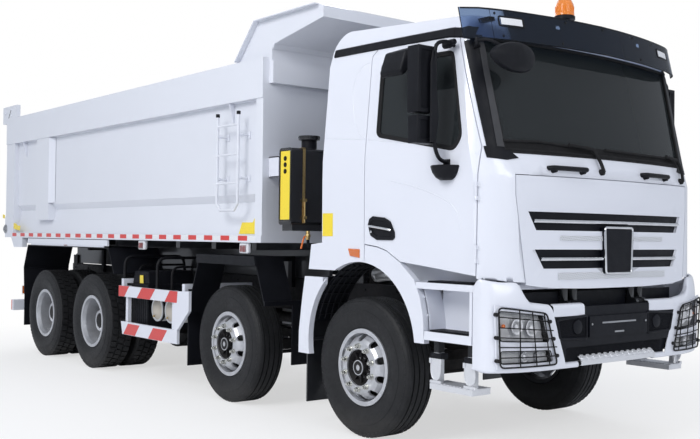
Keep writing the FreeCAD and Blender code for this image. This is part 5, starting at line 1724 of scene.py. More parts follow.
@dataclass
class BumperCorner(Sided):
    """White corner of the bumper: a rolled shell round the lamps, and its wings beside the centre."""

    columns: tuple[tuple[float, ...], ...] = ((0.593, 0.717, 1.014, 0.739, 1.099),
                                              (0.693, 0.805, 1.044, 0.816, 1.108),
                                              (0.779, 0.875, 1.060, 0.906, 1.117),
                                              (0.817, 0.906, 1.065, 0.956, 1.131),
                                              (0.865, 0.945, 1.069, 0.988, 1.178),
                                              (0.970, 1.030, 1.078, 0.993, 1.262),
                                              (1.070, 1.112, 1.086, 1.105, 1.250),
                                              (1.171, 1.195, 1.093, 1.190, 1.262),
                                              (1.205, 1.218, 1.096, 1.216, 1.268),
                                              (1.235, 1.238, 1.098, 1.236, 1.276))
    lamp_low: float = 0.694
    foot_z: float = 0.660

    def shell(self) -> Piece:
        """The main skin, from the black centre round to the step well, open for the lamps.

        Returns:
            The shell.
        """
        lines: list[list[Vector]] = []
        for low_y, lamp_y, lamp_top, rim_y, rim_z in self.columns:
            low_x, lamp_x = between(PLAN_X, PLAN_Y, low_y), between(PLAN_X, PLAN_Y, lamp_y)
            back = 0.040 if rim_y < 0.98 else 0.030
            lines.append(self.column((low_x, low_y), (lamp_x, lamp_y),
                                     (between(PLAN_X, PLAN_Y, rim_y) - back, rim_y), lamp_top, rim_z))
        for x, y, top_z in ((1.306, 1.245, 1.276), (1.254, 1.245, 1.204), (1.249, 1.243, 1.190),
                            (1.249, 1.205, 1.190)):
            lines.append(self.column((x, y), (x, y), (x, y), 1.098, top_z, 0.018))
        rows = [list(row) for row in zip(*lines)]
        return patch("shell", rows, 0.006, (range(1, 7), range(3, 5)), 2)

    def column(self, low: Pair, top: Pair, rim: Pair, lamp_top: float,
               top_z: float, lift: float = 0.0) -> list[Vector]:
        """One upright line of the skin, from the lip under it to the lip on top.

        Args:
            low: the plan place under the lamps.
            top: the plan place over the lamps.
            rim: the plan place of the upper rim.
            lamp_top: the height of the lamps' upper edge.
            top_z: the height of the upper rim.
            lift: how far the foot is raised.

        Returns:
            The line's points.
        """
        (lx, ly), (tx, ty), (rx, ry) = low, top, rim
        foot = self.foot_z + lift
        rise = top_z - lamp_top
        found = [(lx - 0.030, ly - 0.004, foot - 0.004), (lx - 0.004, ly, foot - 0.002),
                 (lx, ly, foot + 0.012), (lx, ly, self.lamp_low),
                 ((lx + tx) / 2, (ly + ty) / 2, (self.lamp_low + lamp_top) / 2), (tx, ty, lamp_top),
                 (tx * 0.9 + rx * 0.1, ty * 0.9 + ry * 0.1, lamp_top + rise * 0.45),
                 (tx * 0.45 + rx * 0.55, ty * 0.45 + ry * 0.55, lamp_top + rise * 0.86),
                 (rx, ry, top_z), (rx - 0.020, ry - 0.006, top_z - 0.006)]
        return [self.at(*place) for place in found]

    def wing(self) -> Piece:
        """The strip over the black centre's outer third.

        Returns:
            The strip.
        """
        rows = [[self.at(x, y, z) for y in (0.387, 0.392, 0.50, 0.61, 0.718)]
                for x, z in ((1.503, 1.016), (1.505, 1.020), (1.505, 1.060), (1.502, 1.085), (1.488, 1.096),
                             (1.460, 1.098))]
        return patch("wing", rows, 0.006, None, 2)

    def foot(self) -> Piece:
        """The lower strip that runs in beside the tread.

        Returns:
            The strip.
        """
        rows = [[self.at(x, y, z) for y in (0.450, 0.455, 0.520, 0.594)]
                for x, z in ((1.475, 0.656), (1.501, 0.658), (1.505, 0.668), (1.505, 0.690),
                             (1.485, 0.694))]
        return patch("foot", rows, 0.006, None, 2)

    def build(self) -> Piece:
        """The whole corner in white enamel."""
        piece = join("bumper_skin_" + self.word, [self.shell(), self.wing(), self.foot()])
        return finish_piece(smooth(piece, 40.0), "chassis", WHITE)


@dataclass
class TrimmedCab:
    """Cab walls and front panel with the curved lower edge of the real pressings."""

    panel_edge: Outline = ((0.960, 1.238), (0.880, 1.228), (0.800, 1.218), (0.645, 1.208), (0.480, 1.203),
                                                   (0.300, 1.1995))
    corner_edge: Outline = ((1.1945, 1.2850), (1.560, 1.2363))

    def build(self, nodes: dict[str, Piece]) -> None:
        """Cut both and let them stand for the solids.

        Args:
            nodes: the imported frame's nodes by name.
        """
        line = list(self.panel_edge) + [(-y, z) for y, z in reversed(self.panel_edge)]
        below = [(-1.0, 1.10), (1.0, 1.10)]
        under_panel = plate("under_panel", [world(1.20, y, z) for y, z in line + below], (0.6, 0, 0))
        panel = carved(nodes["front_panel"], "front_panel_skin", [under_panel])
        finish_piece(panel, "front_flap", WHITE, ("front_panel",))
        cutters = []
        for s in (1, -1):
            outline = list(self.corner_edge) + [(1.560, 1.10), (1.1945, 1.10)]
            cutters.append(plate("under_corner", [world(x, s * 0.925, z) for x, z in outline],
                                 (0, s * 0.4, 0)))
        shell = carved(nodes["cab_shell"], "cab_skin", cutters)
        finish_piece(shell, "cab", CAB_WHITE, ("cab_shell",))


@dataclass
class BumperTrim:
    """Fog lamp bezels, blank plate and mesh in the black centre, and the front tread."""

    face: float = 1.505

    def mesh_panel(self, name: str, y0: float, y1: float, z0: float, z1: float, x: float,
                   pitch: float = 0.018) -> Piece:
        """A diamond mesh of thin wires in front of a dark hollow.

        Args:
            name: the piece's name.
            y0: its right end.
            y1: its left end.
            z0: its foot.
            z1: its top.
            x: the place along the truck.
            pitch: the wires' spacing.

        Returns:
            The mesh.
        """
        wires: list[Piece] = []
        height = z1 - z0
        start = y0 - height
        while start < y1:
            for lean in (1, -1):
                a_y, b_y = (start, start + height) if lean > 0 else (start + height, start)
                clipped = clip_line((a_y, z0), (b_y, z1), y0, y1)
                if clipped:
                    (ya, za), (yb, zb) = clipped
                    wires.append(bar("wire", world(x, ya, za), world(x, yb, zb), 0.0016, 4))
            start += pitch
        return join(name, wires)

    def build(self) -> None:
        """Dress the bumper's centre."""
        bezels: list[Piece] = []
        for s in (1, -1):
            outer = [(0.365, 1.012), (0.690, 0.992), (0.655, 0.862), (0.365, 0.852)]
            ring = [world(self.face + 0.002, s * y, z) for y, z in outer]
            frame = tube("bezel", ring, 0.010, 0.02, 2, True)
            cap = bar("cover", world(self.face + 0.002, s * 0.472, 0.936),
                      world(self.face + 0.012, s * 0.472, 0.936), 0.050, 32, 0.004)
            bezels += [frame, cap]
            finish_piece(self.mesh_panel("bezel_mesh_%d" % (s + 1), *sorted((s * 0.375, s * 0.66)), 0.862,
                                         0.996, self.face + 0.003), "chassis", GRILLE_BLACK)
        group("fog_bezels", bezels, "chassis", GRILLE_BLACK)
        slots: list[Piece] = []
        for y0, y1, z in ((-0.20, 0.20, 0.955), (-0.055, 0.055, 0.885)):
            slots.append(block("slot", world(self.face + 0.0145, y0, z - 0.006),
                               world(self.face + 0.017, y1, z + 0.006), 0.001))
        for y in (-0.32, 0.32):
            slots.append(bar("bolt", world(self.face + 0.014, y, 0.949),
                             world(self.face + 0.0205, y, 0.949), 0.009, 6, 0.001))
        group("plate_fixings", slots, "chassis", STEEL)
        finish_piece(self.mesh_panel("lower_mesh", -0.56, 0.56, 0.695, 0.79, self.face - 0.018), "chassis",
                     GRILLE_BLACK)
        self.tread()

    def tread(self) -> None:
        """Rounded lip, sloping top and raised teeth of the tread across the front."""
        lip = bar("lip", world(1.5070, -0.440, 0.6840), world(1.5070, 0.440, 0.6840), 0.0175, 24, 0.002)
        rows = [[world(x, y, z) for y in (-0.440, 0.440)]
                for x, z in ((1.5225, 0.692), (1.517, 0.706), (1.490, 0.728))]
        tooth = plate("tooth",
                      [world(x, -0.425, z)
                       for x, z in ((1.520, 0.701), (1.522, 0.716), (1.493, 0.740), (1.489, 0.727))],
                      (0, 0.034, 0), 0.003)
        teeth = [tooth] + shifted(tooth, [(0, 0.068 * i, 0) for i in range(1, 13)])
        group("front_tread", [lip, patch("slope", rows, 0.004)] + teeth, "chassis", ZINC)
        # A near-black sheet at the back of the recess under the front panel: painted shade that closes the
        # view through it.
        back = block("back", world(1.195, -0.640, 1.090), world(1.210, 0.640, 1.199))
        group("recess_back", [back], "chassis", GRILLE_BLACK)
        finish_piece(self.mesh_panel("recess_mesh", -0.50, 0.50, 1.105, 1.190, 1.232, 0.022), "chassis",
                     BLACK_PLASTIC)


def clip_line(a: Pair, b: Pair, low: float, high: float
              ) -> tuple[Pair, Pair] | None:
    """The part of a line between two values of its first coordinate, or None.

    Args:
        a: one end.
        b: the other end.
        low: the lower value.
        high: the higher value.

    Returns:
        Both ends of the part, or None.
    """
    (ya, za), (yb, zb) = (a, b) if a[0] <= b[0] else (b, a)
    if yb <= low or ya >= high:
        return None

    def at(y: float) -> Pair:
        """The line's point at this first coordinate."""
        return y, za + (y - ya) / (yb - ya) * (zb - za)

    start = at(low) if ya < low else (ya, za)
    end = at(high) if yb > high else (yb, zb)
    return (start, end) if end[0] - start[0] > 0.002 else None


@dataclass
class FrontPanelTrim:
    """Bright bars, light strips, plaque frame, grab handles and wipers on the cab's front."""

    upper_z: float = 1.668
    lower_z: float = 1.408

    def arc(self, half: float, z: float, nose_x: float, corner_x: float, corner_y: float,
            out: float) -> list[Vector]:
        """Points across the curved nose at one height."""
        return [world(nose_x - (nose_x - corner_x) * (y / corner_y) ** 2 + out, y, z)
                for y in steps(-half, half, 13)]

    def build(self) -> None:
        """Dress the panel."""
        bright = [tube("bar", self.arc(0.860, self.upper_z, 1.4868, 1.421, 0.980, 0.004), 0.0135, 0.0, 3),
                  tube("bar", self.arc(0.800, self.lower_z, 1.4905, 1.430, 0.962, 0.004), 0.0135, 0.0, 3)]
        frame_line = [world(1.511, y, z)
                      for y, z in ((-0.165, 1.632), (0.165, 1.632), (0.150, 1.304), (-0.150, 1.304))]
        bright.append(tube("plaque_edge", frame_line, 0.009, 0.02, 3, True))
        group("bright_bars", bright, "front_flap", CHROME)
        strips = [patch("strip",
                        [[CAB.nose(y, z, 0.004) for y in steps(-half, half, 24)] for z in (low, high)],
                        0.003) for half, low, high in ((0.612, 1.536, 1.570), (0.636, 1.266, 1.314))]
        group("pierced_strips", strips, "front_flap", PIERCED)
        handles: list[Piece] = []
        for s in (1, -1):
            y0, y1 = s * 0.350, s * 0.695
            line = [CAB.nose(y0, 2.034, -0.02), CAB.nose(y0, 2.036, 0.044), CAB.nose(y1, 2.036, 0.044),
                    CAB.nose(y1, 2.034, -0.02)]
            handles.append(tube("grab", line, 0.0175, 0.03, 4))
            for y in (y0 + s * 0.030, y1 - s * 0.030):
                handles.append(bar("foot", CAB.nose(y, 2.012, -0.02), CAB.nose(y, 2.022, 0.040), 0.016, 16,
                                   0.004))
        group("front_grabs", handles, "cab", BLACK_PLASTIC)
        for name, blade, arm in (
                ("wiper_right", ((-1.050, 2.208), (-0.734, 2.216), (-0.198, 2.190)),
                 ((-0.158, 2.030), (-0.178, 2.103), (-0.234, 2.192), (-0.480, 2.211))),
                ("wiper_left", ((-0.080, 2.198), (0.404, 2.191), (0.985, 2.198)),
                 ((0.948, 2.016), (0.985, 2.094), (0.965, 2.180), (0.760, 2.204)))):
            finish_piece(self.wiper(name, blade, arm), "cab", SEAL)

    def wiper(self, name: str, blade: Sequence[Pair], arm: Sequence[Pair]) -> Piece:
        """One parked wiper: a bent arm that rises from its boot and lies along the blade.

        Args:
            name: the piece's name.
            blade: the blade's line.
            arm: the arm's line.

        Returns:
            The wiper.
        """
        foot = CAB.nose(*arm[0])
        boot = bar("boot", foot - Vector((0.040, 0, 0)), foot + Vector((0.026, 0, 0)), 0.023, 20, 0.005)
        rail = tube("blade", [CAB.nose(y, z, 0.016) for y, z in blade], 0.0095, 0.0, 2)
        return join(name,
                    [rail, tube("arm", [CAB.nose(y, z, 0.030) for y, z in arm], 0.0125, 0.03, 3), boot])


# ---- cab ---------------------------------------------------------------------
@dataclass
class CabTrim:
    """Pillar trims, gutters, seals and roof details that ride on the cab."""

    screen_low: float = 2.150
    screen_top: float = 2.925
    screen_half_low: float = 1.040
    screen_half_top: float = 1.075
    door_edge: Outline = ((2.060, 1.272), (2.160, 1.272), (2.960, 1.052))

    def screen_half(self, z: float) -> float:
        """Half the windscreen opening's width at a height."""
        return between((self.screen_half_low, self.screen_half_top), (self.screen_low, self.screen_top), z)

    def start_share(self, z: float) -> float:
        """Where on the corner's arc the door's front edge ends.

        Args:
            z: the height.

        Returns:
            The share.
        """
        levels, edges = zip(*self.door_edge)
        end, corner = between(CAB.side_end, CAB.heights, z), between(CAB.corner_x, CAB.heights, z)
        return max(0.0, (between(edges, levels, z) - end) / (corner - end) * 0.93)

    def pillar(self, side: Side) -> None:
        """Dark trim over the front pillar with a raised inner edge.

        Args:
            side: left or right.
        """
        rows, ridge = [], []
        for z in steps(2.165, 2.945, 14):
            first = self.start_share(z)
            row = [CAB.corner(share, z, side, 0.003) for share in steps(first, 1.0, 6)]
            edge = side.value * self.screen_half(z)
            rows.append(row + [CAB.nose(edge, z, 0.003)])
            ridge.append([CAB.corner(share, z, side, 0.009) for share in steps(0.86, 1.0, 3)]
                         + [CAB.nose(edge, z, 0.009), CAB.nose(edge - side.value * 0.004, z, -0.004)])
        foot = [[CAB.corner(share, 2.165 - drop * (0.75 + 0.25 * share), side, 0.003)
                 for share in steps(self.start_share(2.12), 1.0, 6)]
                + [CAB.nose(side.value * (1.035 - drop), 2.165 - drop * 0.8, 0.003)]
                for drop in (0.09, 0.06, 0.03, 0.0)]
        group("pillar_trim_" + side.word, [patch("trim", rows), patch("foot", foot)], "cab", BLACK_PLASTIC)
        finish_piece(patch("pillar_ridge_" + side.word, ridge, 0.003), "cab", TRIM)

    def gutter(self, side: Side) -> None:
        """Dark rail over the door, from the cab's rear to the pillar.

        Args:
            side: left or right.
        """
        line = ((-0.385, 2.985, 3.050), (0.0, 2.978, 3.043), (0.5, 2.966, 3.032), (0.93, 2.950, 3.020),
                (1.06, 2.925, 3.012), (1.12, 2.915, 3.005))
        rows = [[CAB.side(x, low + (top - low) * v, side, out)
                 for v, out in ((0, 0.002), (0.12, 0.012), (0.88, 0.012), (1, 0.002))]
                for x, low, top in line]
        rail = patch("gutter_" + side.word, rows, 0.004)
        joint = [CAB.side(0.98, z, side, 0.0155) for z in steps(2.948, 3.016, 3)]
        finish_piece(rail, "cab", BLACK_PLASTIC)
        finish_piece(tube("gutter_joint_" + side.word, joint, 0.0016), "cab", SEAL)

    def screen_seal(self) -> None:
        """Rubber round the windscreen and the dark band along its foot."""
        half = self.screen_half_low
        low = [CAB.nose(y, self.screen_low, 0.001) for y in steps(-half, half, 21)]
        top = [CAB.nose(y, self.screen_top, 0.001)
               for y in steps(self.screen_half_top, -self.screen_half_top, 21)]
        loop = tube("loop", low + top, 0.011, 0.0, 3, True)
        band = [[CAB.nose(y, z, 0.002) for y in steps(-half, half, 21)] for z in (2.126, 2.150)]
        group("screen_seal", [loop, patch("band", band, 0.005)], "cab", SEAL)
        fade = [[CAB.nose(y, z, -0.007) for y in steps(-half + 0.012, half - 0.012, 21)]
                for z in (2.158, 2.205)]
        finish_piece(patch("screen_band", fade, 0.002), "cab", SEAL)

    def rear_panel(self, side: Side) -> None:
        """Pressed panel line behind the door.

        Args:
            side: left or right.
        """
        line = [(0.085, 2.882), (0.02, 2.880), (-0.075, 2.800), (-0.105, 2.700), (-0.085, 2.550),
                (-0.04, 2.400), (0.03, 2.320), (0.085, 2.292)]
        press = tube("rear_press_" + side.word, [CAB.side(x, z, side, -0.0025) for x, z in line], 0.0055,
                     0.05, 3)
        belt = tube("rear_belt",
                    [CAB.side(x, z, side, -0.003) for x, z in ((-0.40, 2.332), (0.095, 2.288))], 0.006, 0.0,
                    3)
        group("rear_press_" + side.word, [press, belt], "cab", WHITE)

    def patches(self) -> None:
        """Blank yellow patch on the cab's lower rear corner."""
        side = Side.RIGHT
        rows = [[CAB.side(x, z, side, 0.0012) for x in (-0.412, -0.280)] for z in (1.548, 1.730)]
        finish_piece(patch("cab_patch", rows, 0.001), "cab", YELLOW_FILM)

    def build(self) -> None:
        """Dress both sides and the roof."""
        self.screen_seal()
        self.patches()
        for side in SIDES:
            self.pillar(side)
            self.gutter(side)
            self.rear_panel(side)


@dataclass
class DoorTrim(Sided):
    """Window seal, pressed lines and the handle of one door."""

    window: Outline = ((0.235, 2.305), (0.235, 2.830), (0.270, 2.862), (0.985, 2.842),
                                               (1.120, 2.235), (1.055, 2.150))

    def spot(self, x: float, z: float, out: float) -> Vector:
        """A point on the door's skin."""
        return CAB.side(x, z, self.side, out)

    def handle(self) -> None:
        """Black bezel with a sunk grip hollow and a bright pull bar."""
        word, s = self.word, self.side.value
        outline = [(0.160, 1.640), (0.176, 1.682), (0.215, 1.702), (0.350, 1.690), (0.415, 1.662),
                   (0.462, 1.580), (0.462, 1.540), (0.440, 1.524), (0.262, 1.524), (0.190, 1.556)]
        bezel = plate("bezel", [self.spot(x, z, 0.001) for x, z in outline], (0, s * 0.010, 0))
        sink(bezel, (0, s, 0), 0.026, 0.009)
        bevel(bezel, 0.003)
        body = "door_" + word
        group("handle_bezel_" + word, [bezel], body, BLACK_PLASTIC)
        pull = tube("handle_pull_" + word,
                    [self.spot(x, z, out)
                     for x, z, out in ((0.178, 1.628, 0.010), (0.215, 1.626, 0.026), (0.400, 1.604, 0.024),
                                       (0.428, 1.596, 0.012))], 0.0095, 0.02, 3)
        lock = bar("lock", self.spot(0.200, 1.585, 0.008), self.spot(0.200, 1.585, 0.014), 0.010, 20, 0.002)
        group("handle_pull_" + word, [pull, lock], body, CHROME)

    def build(self) -> None:
        """Dress the door."""
        word, body = self.word, "door_" + self.word
        seal = tube("window_seal", [self.spot(x, z, 0.0) for x, z in self.window], 0.011, 0.045, 3, True)
        lining = tube("window_lining",
                      [self.spot(0.5 * (x - 0.65) * 1.955 + 0.65, (z - 2.5) * 0.965 + 2.5, -0.008)
                       for x, z in self.window], 0.012, 0.045, 3, True)
        group("window_seal_" + word, [seal, lining], body, SEAL)
        belt = tube("belt",
                    [self.spot(x, z, -0.003)
                     for x, z in ((0.125, 2.286), (0.6, 2.222), (1.05, 2.142), (1.235, 2.112))], 0.0062,
                    0.0, 3)
        swage = tube("swage",
                     [self.spot(x, z, -0.003)
                      for x, z in ((0.411, 1.960), (0.600, 1.925), (0.787, 1.876), (0.930, 1.828),
                                   (1.012, 1.792), (1.075, 1.745), (1.107, 1.690), (1.118, 1.60))], 0.0062,
                     0.04, 3)
        group("door_lines_" + word, [belt, swage], body, WHITE)
        self.handle()


@dataclass
class Mirrors(Sided):
    """Rounded mirror shells on their arm, with the kerb mirror and a lower foot."""

    def shell(self, low: Point, high: Point) -> list[Piece]:
        """A housing with a sunk panel in front.

        Args:
            low: one corner.
            high: the opposite corner.

        Returns:
            The shell.
        """
        housing = block("housing", self.at(*low), self.at(*high))
        sink(housing, (1, 0, 0), 0.030, 0.008)
        bevel(housing, 0.020, 4, 60.0)
        return [smooth(housing, 40)]

    def build(self) -> None:
        """Build one side's mirrors in place of the plain ones."""
        word, body = self.word, "door_" + self.word
        pieces = self.shell((0.880, 1.350, 2.395), (0.990, 1.520, 2.850))
        pieces += self.shell((0.890, 1.350, 2.185), (0.985, 1.520, 2.375))
        arm = [self.at(*p)
               for p in ((0.995, 1.190, 2.880), (1.020, 1.290, 2.898), (1.005, 1.380, 2.870),
                         (1.005, 1.380, 2.170), (1.000, 1.330, 2.080), (0.995, 1.245, 2.066))]
        pieces.append(tube("arm", arm, 0.0135, 0.06, 4))
        cover = [self.at(1.005, 1.352 + dy, z)
                 for dy, z in ((0.0, 2.380), (0.02, 2.20), (0.075, 2.19), (0.075, 2.72), (0.055, 2.83),
                               (0.03, 2.72))]
        pieces.append(plate("arm_cover", cover, (0.014, 0, 0), 0.006, 3))
        kerb = [self.at(0.525, y, z)
                for y, z in ((1.215, 2.870), (1.232, 2.922), (1.420, 2.858), (1.472, 2.705), (1.440, 2.674),
                             (1.300, 2.800))]
        pieces.append(smooth(plate("kerb", kerb, (0.230, 0, 0), 0.018, 4), 40))
        pieces.append(bar("kerb_arm", self.at(0.700, 1.190, 2.903), self.at(0.660, 1.285, 2.862), 0.0135,
                          16))
        for x, z, size in ((0.975, 2.882, 0.026), (1.020, 2.895, 0.020), (0.995, 2.066, 0.024)):
            pieces.append(bar("clamp", self.at(x - 0.03, 1.235, z), self.at(x + 0.03, 1.235, z), size, 20,
                              0.005))
        bowl = spun("bowl",
                    [self.at(0.995 + dx, 1.243, z)
                     for dx, z in ((0.0, 1.942), (0.050, 1.943), (0.080, 1.960), (0.104, 1.995),
                                   (0.1175, 2.035), (0.112, 2.043), (0.0, 2.043))],
                    self.at(0.995, 1.243, 2.0), (0, 0, 1), 40)
        pieces.append(bowl)
        group("mirror_shells_" + word, pieces, body, BLACK_PLASTIC, ["mirrors_" + word])
        glasses = [block("glass", self.at(x, 1.372, low), self.at(x + 0.002, 1.498, high), 0.0004)
                   for x, low, high in ((0.8785, 2.420, 2.826), (0.8885, 2.205, 2.355))]
        group("mirror_glass_" + word, glasses, body, CHROME)


@dataclass
class FrontMirror:
    """Oval dish ahead of the windscreen's upper corner, on a forked bracket."""

    centre: Point = (1.435, -1.060, 2.760)
    rings: Outline = ((-0.028, 0.98), (-0.010, 1.0), (0.008, 0.93), (0.022, 0.74),
                                              (0.029, 0.42), (0.031, 0.0))

    def build(self) -> None:
        """Build it in place of the plain one."""
        x, y, z = self.centre
        rows = []
        for dx, size in self.rings:
            row = []
            for i in range(33):
                angle = 2 * math.pi * i / 32
                lean = 0.012 * math.sin(angle)
                row.append(world(x + dx + lean * size * 0.5, y + 0.212 * size * math.cos(angle),
                                 z + (0.098 + 0.02 * math.cos(angle)) * size * math.sin(angle)))
            rows.append(row)
        dish = patch("dish", rows, 0.003)
        edit(dish, "merge", "normals")
        stalk = tube("stalk",
                     [world(*p) for p in ((1.165, -1.115, 2.862), (1.235, -1.225, 2.872),
                                          (1.335, -1.215, 2.872), (1.395, -1.150, 2.832),
                                          (1.412, -1.120, 2.790))], 0.0105, 0.04, 3)
        fork = [bar("fork", world(1.14, -1.135, zz), world(1.25, -1.225, zz), 0.009, 14, 0.002)
                for zz in (2.850, 2.886)]
        knuckle = bar("knuckle", world(1.245, -1.222, 2.842), world(1.245, -1.222, 2.894), 0.015, 18, 0.003)
        group("front_mirror_shell", [dish, stalk, knuckle] + fork, "cab", BLACK_PLASTIC, ["front_mirror"])
        face = [
            [world(x - 0.027, y + 0.205 * size * math.cos(2 * math.pi * i / 32), z
                   + 0.09 * size * math.sin(2 * math.pi * i / 32)) for i in range(33)]
            for size in (0.97, 0.5, 0.01)]
        finish_piece(patch("front_mirror_face", face, 0.001), "cab", CHROME)


@dataclass
class RoofGear:
    """Beacon with its base, and the lamps and screws of the sun visor."""

    beacon_x: float = 1.000
    beacon_z: float = 3.234
    beacon_r: float = 0.082
    stations: tuple[float, ...] = (0.0, 0.450, 0.900, 1.130, 1.238)
    reach: tuple[float, ...] = (1.372, 1.345, 1.268, 1.190, 1.100)

    def beacon(self) -> None:
        """Ribbed amber dome on a black foot."""
        x, z, r = self.beacon_x, self.beacon_z, self.beacon_r
        axis = world(x, 0.0, 0.0)
        foot = [(0.0, -0.049), (0.044, -0.049), (0.044, -0.002), (r - 0.001, 0.001), (r - 0.001, 0.024),
                (r - 0.008, 0.0295), (0.0, 0.0295)]
        dome = [(0.0, 0.030), (r - 0.007, 0.030), (r - 0.008, 0.050), (r - 0.011, 0.054),
                (r - 0.011, 0.100), (r - 0.014, 0.118), (r - 0.030, 0.150), (r - 0.055, 0.174),
                (0.0, 0.184)]
        base = spun("beacon_foot", [world(x + dr, 0.0, z + dz) for dr, dz in foot], axis, (0, 0, 1), 48)
        cover = spun("beacon_dome", [world(x + dr, 0.0, z + dz) for dr, dz in dome], axis, (0, 0, 1), 48)
        finish_piece(base, "cab", BLACK_PLASTIC)
        finish_piece(cover, "cab", AMBER, ["beacon"])
        rib = bar("rib", world(x + r - 0.0105, 0, z + 0.056), world(x + r - 0.0105, 0, z + 0.100), 0.0012,
                  6)
        group("beacon_ribs", turned(rib, axis, (0, 0, 1), 40), "cab", AMBER)

    def edge(self, y: float, z: float, out: float = 0.0) -> Vector:
        """A point on the visor's outer face."""
        lean = 0.030 - 0.055 * (z - 2.905) / 0.223
        return world(between(self.reach, self.stations, abs(y)) + lean + out, y, z)

    def visor(self) -> None:
        """White marker lamps in dark frames, screws and the visor's joints."""
        for side in SIDES:
            s = side.value
            lens = [[self.edge(s * y, z, 0.006) for y in steps(0.815, 0.985, 4)] for z in (3.018, 3.066)]
            frame = tube("frame",
                         [self.edge(s * y, z, 0.004)
                          for y, z in ((0.800, 3.008), (1.000, 3.008), (0.998, 3.076), (0.802, 3.076))],
                         0.006, 0.015, 2, True)
            finish_piece(patch("marker_lens_" + side.word, lens, 0.004), "cab", WHITE_FILM)
            group("marker_frame_" + side.word, [frame], "cab", BLACK_PLASTIC)
        screws = []
        for y, z in ((-1.02, 3.095), (-0.72, 3.095), (-0.40, 3.100), (0.0, 3.100), (0.40, 3.100),
                     (0.72, 3.095), (1.02, 3.095), (-0.98, 2.935), (-0.47, 2.935), (0.47, 2.935),
                     (0.98, 2.935)):
            screws.append(bar("screw", self.edge(y, z, -0.001), self.edge(y, z, 0.005), 0.010, 16, 0.002))
        joints = [tube("joint", [self.edge(s * 1.053, z, 0.001) for z in steps(2.915, 3.118, 4)], 0.0016)
                  for s in (1, -1)]
        lip = [tube("lip", [self.edge(y, z, -0.003) for y in steps(-1.225, 1.225, 25)], 0.006, 0.0, 2)
               for z in (2.909, 3.124)]
        group("visor_fixings", screws + joints, "cab", SEAL)
        group("visor_lips", lip, "cab", BLACK_PLASTIC)

    def build(self) -> None:
        """Dress the roof."""
        self.beacon()
        self.visor()


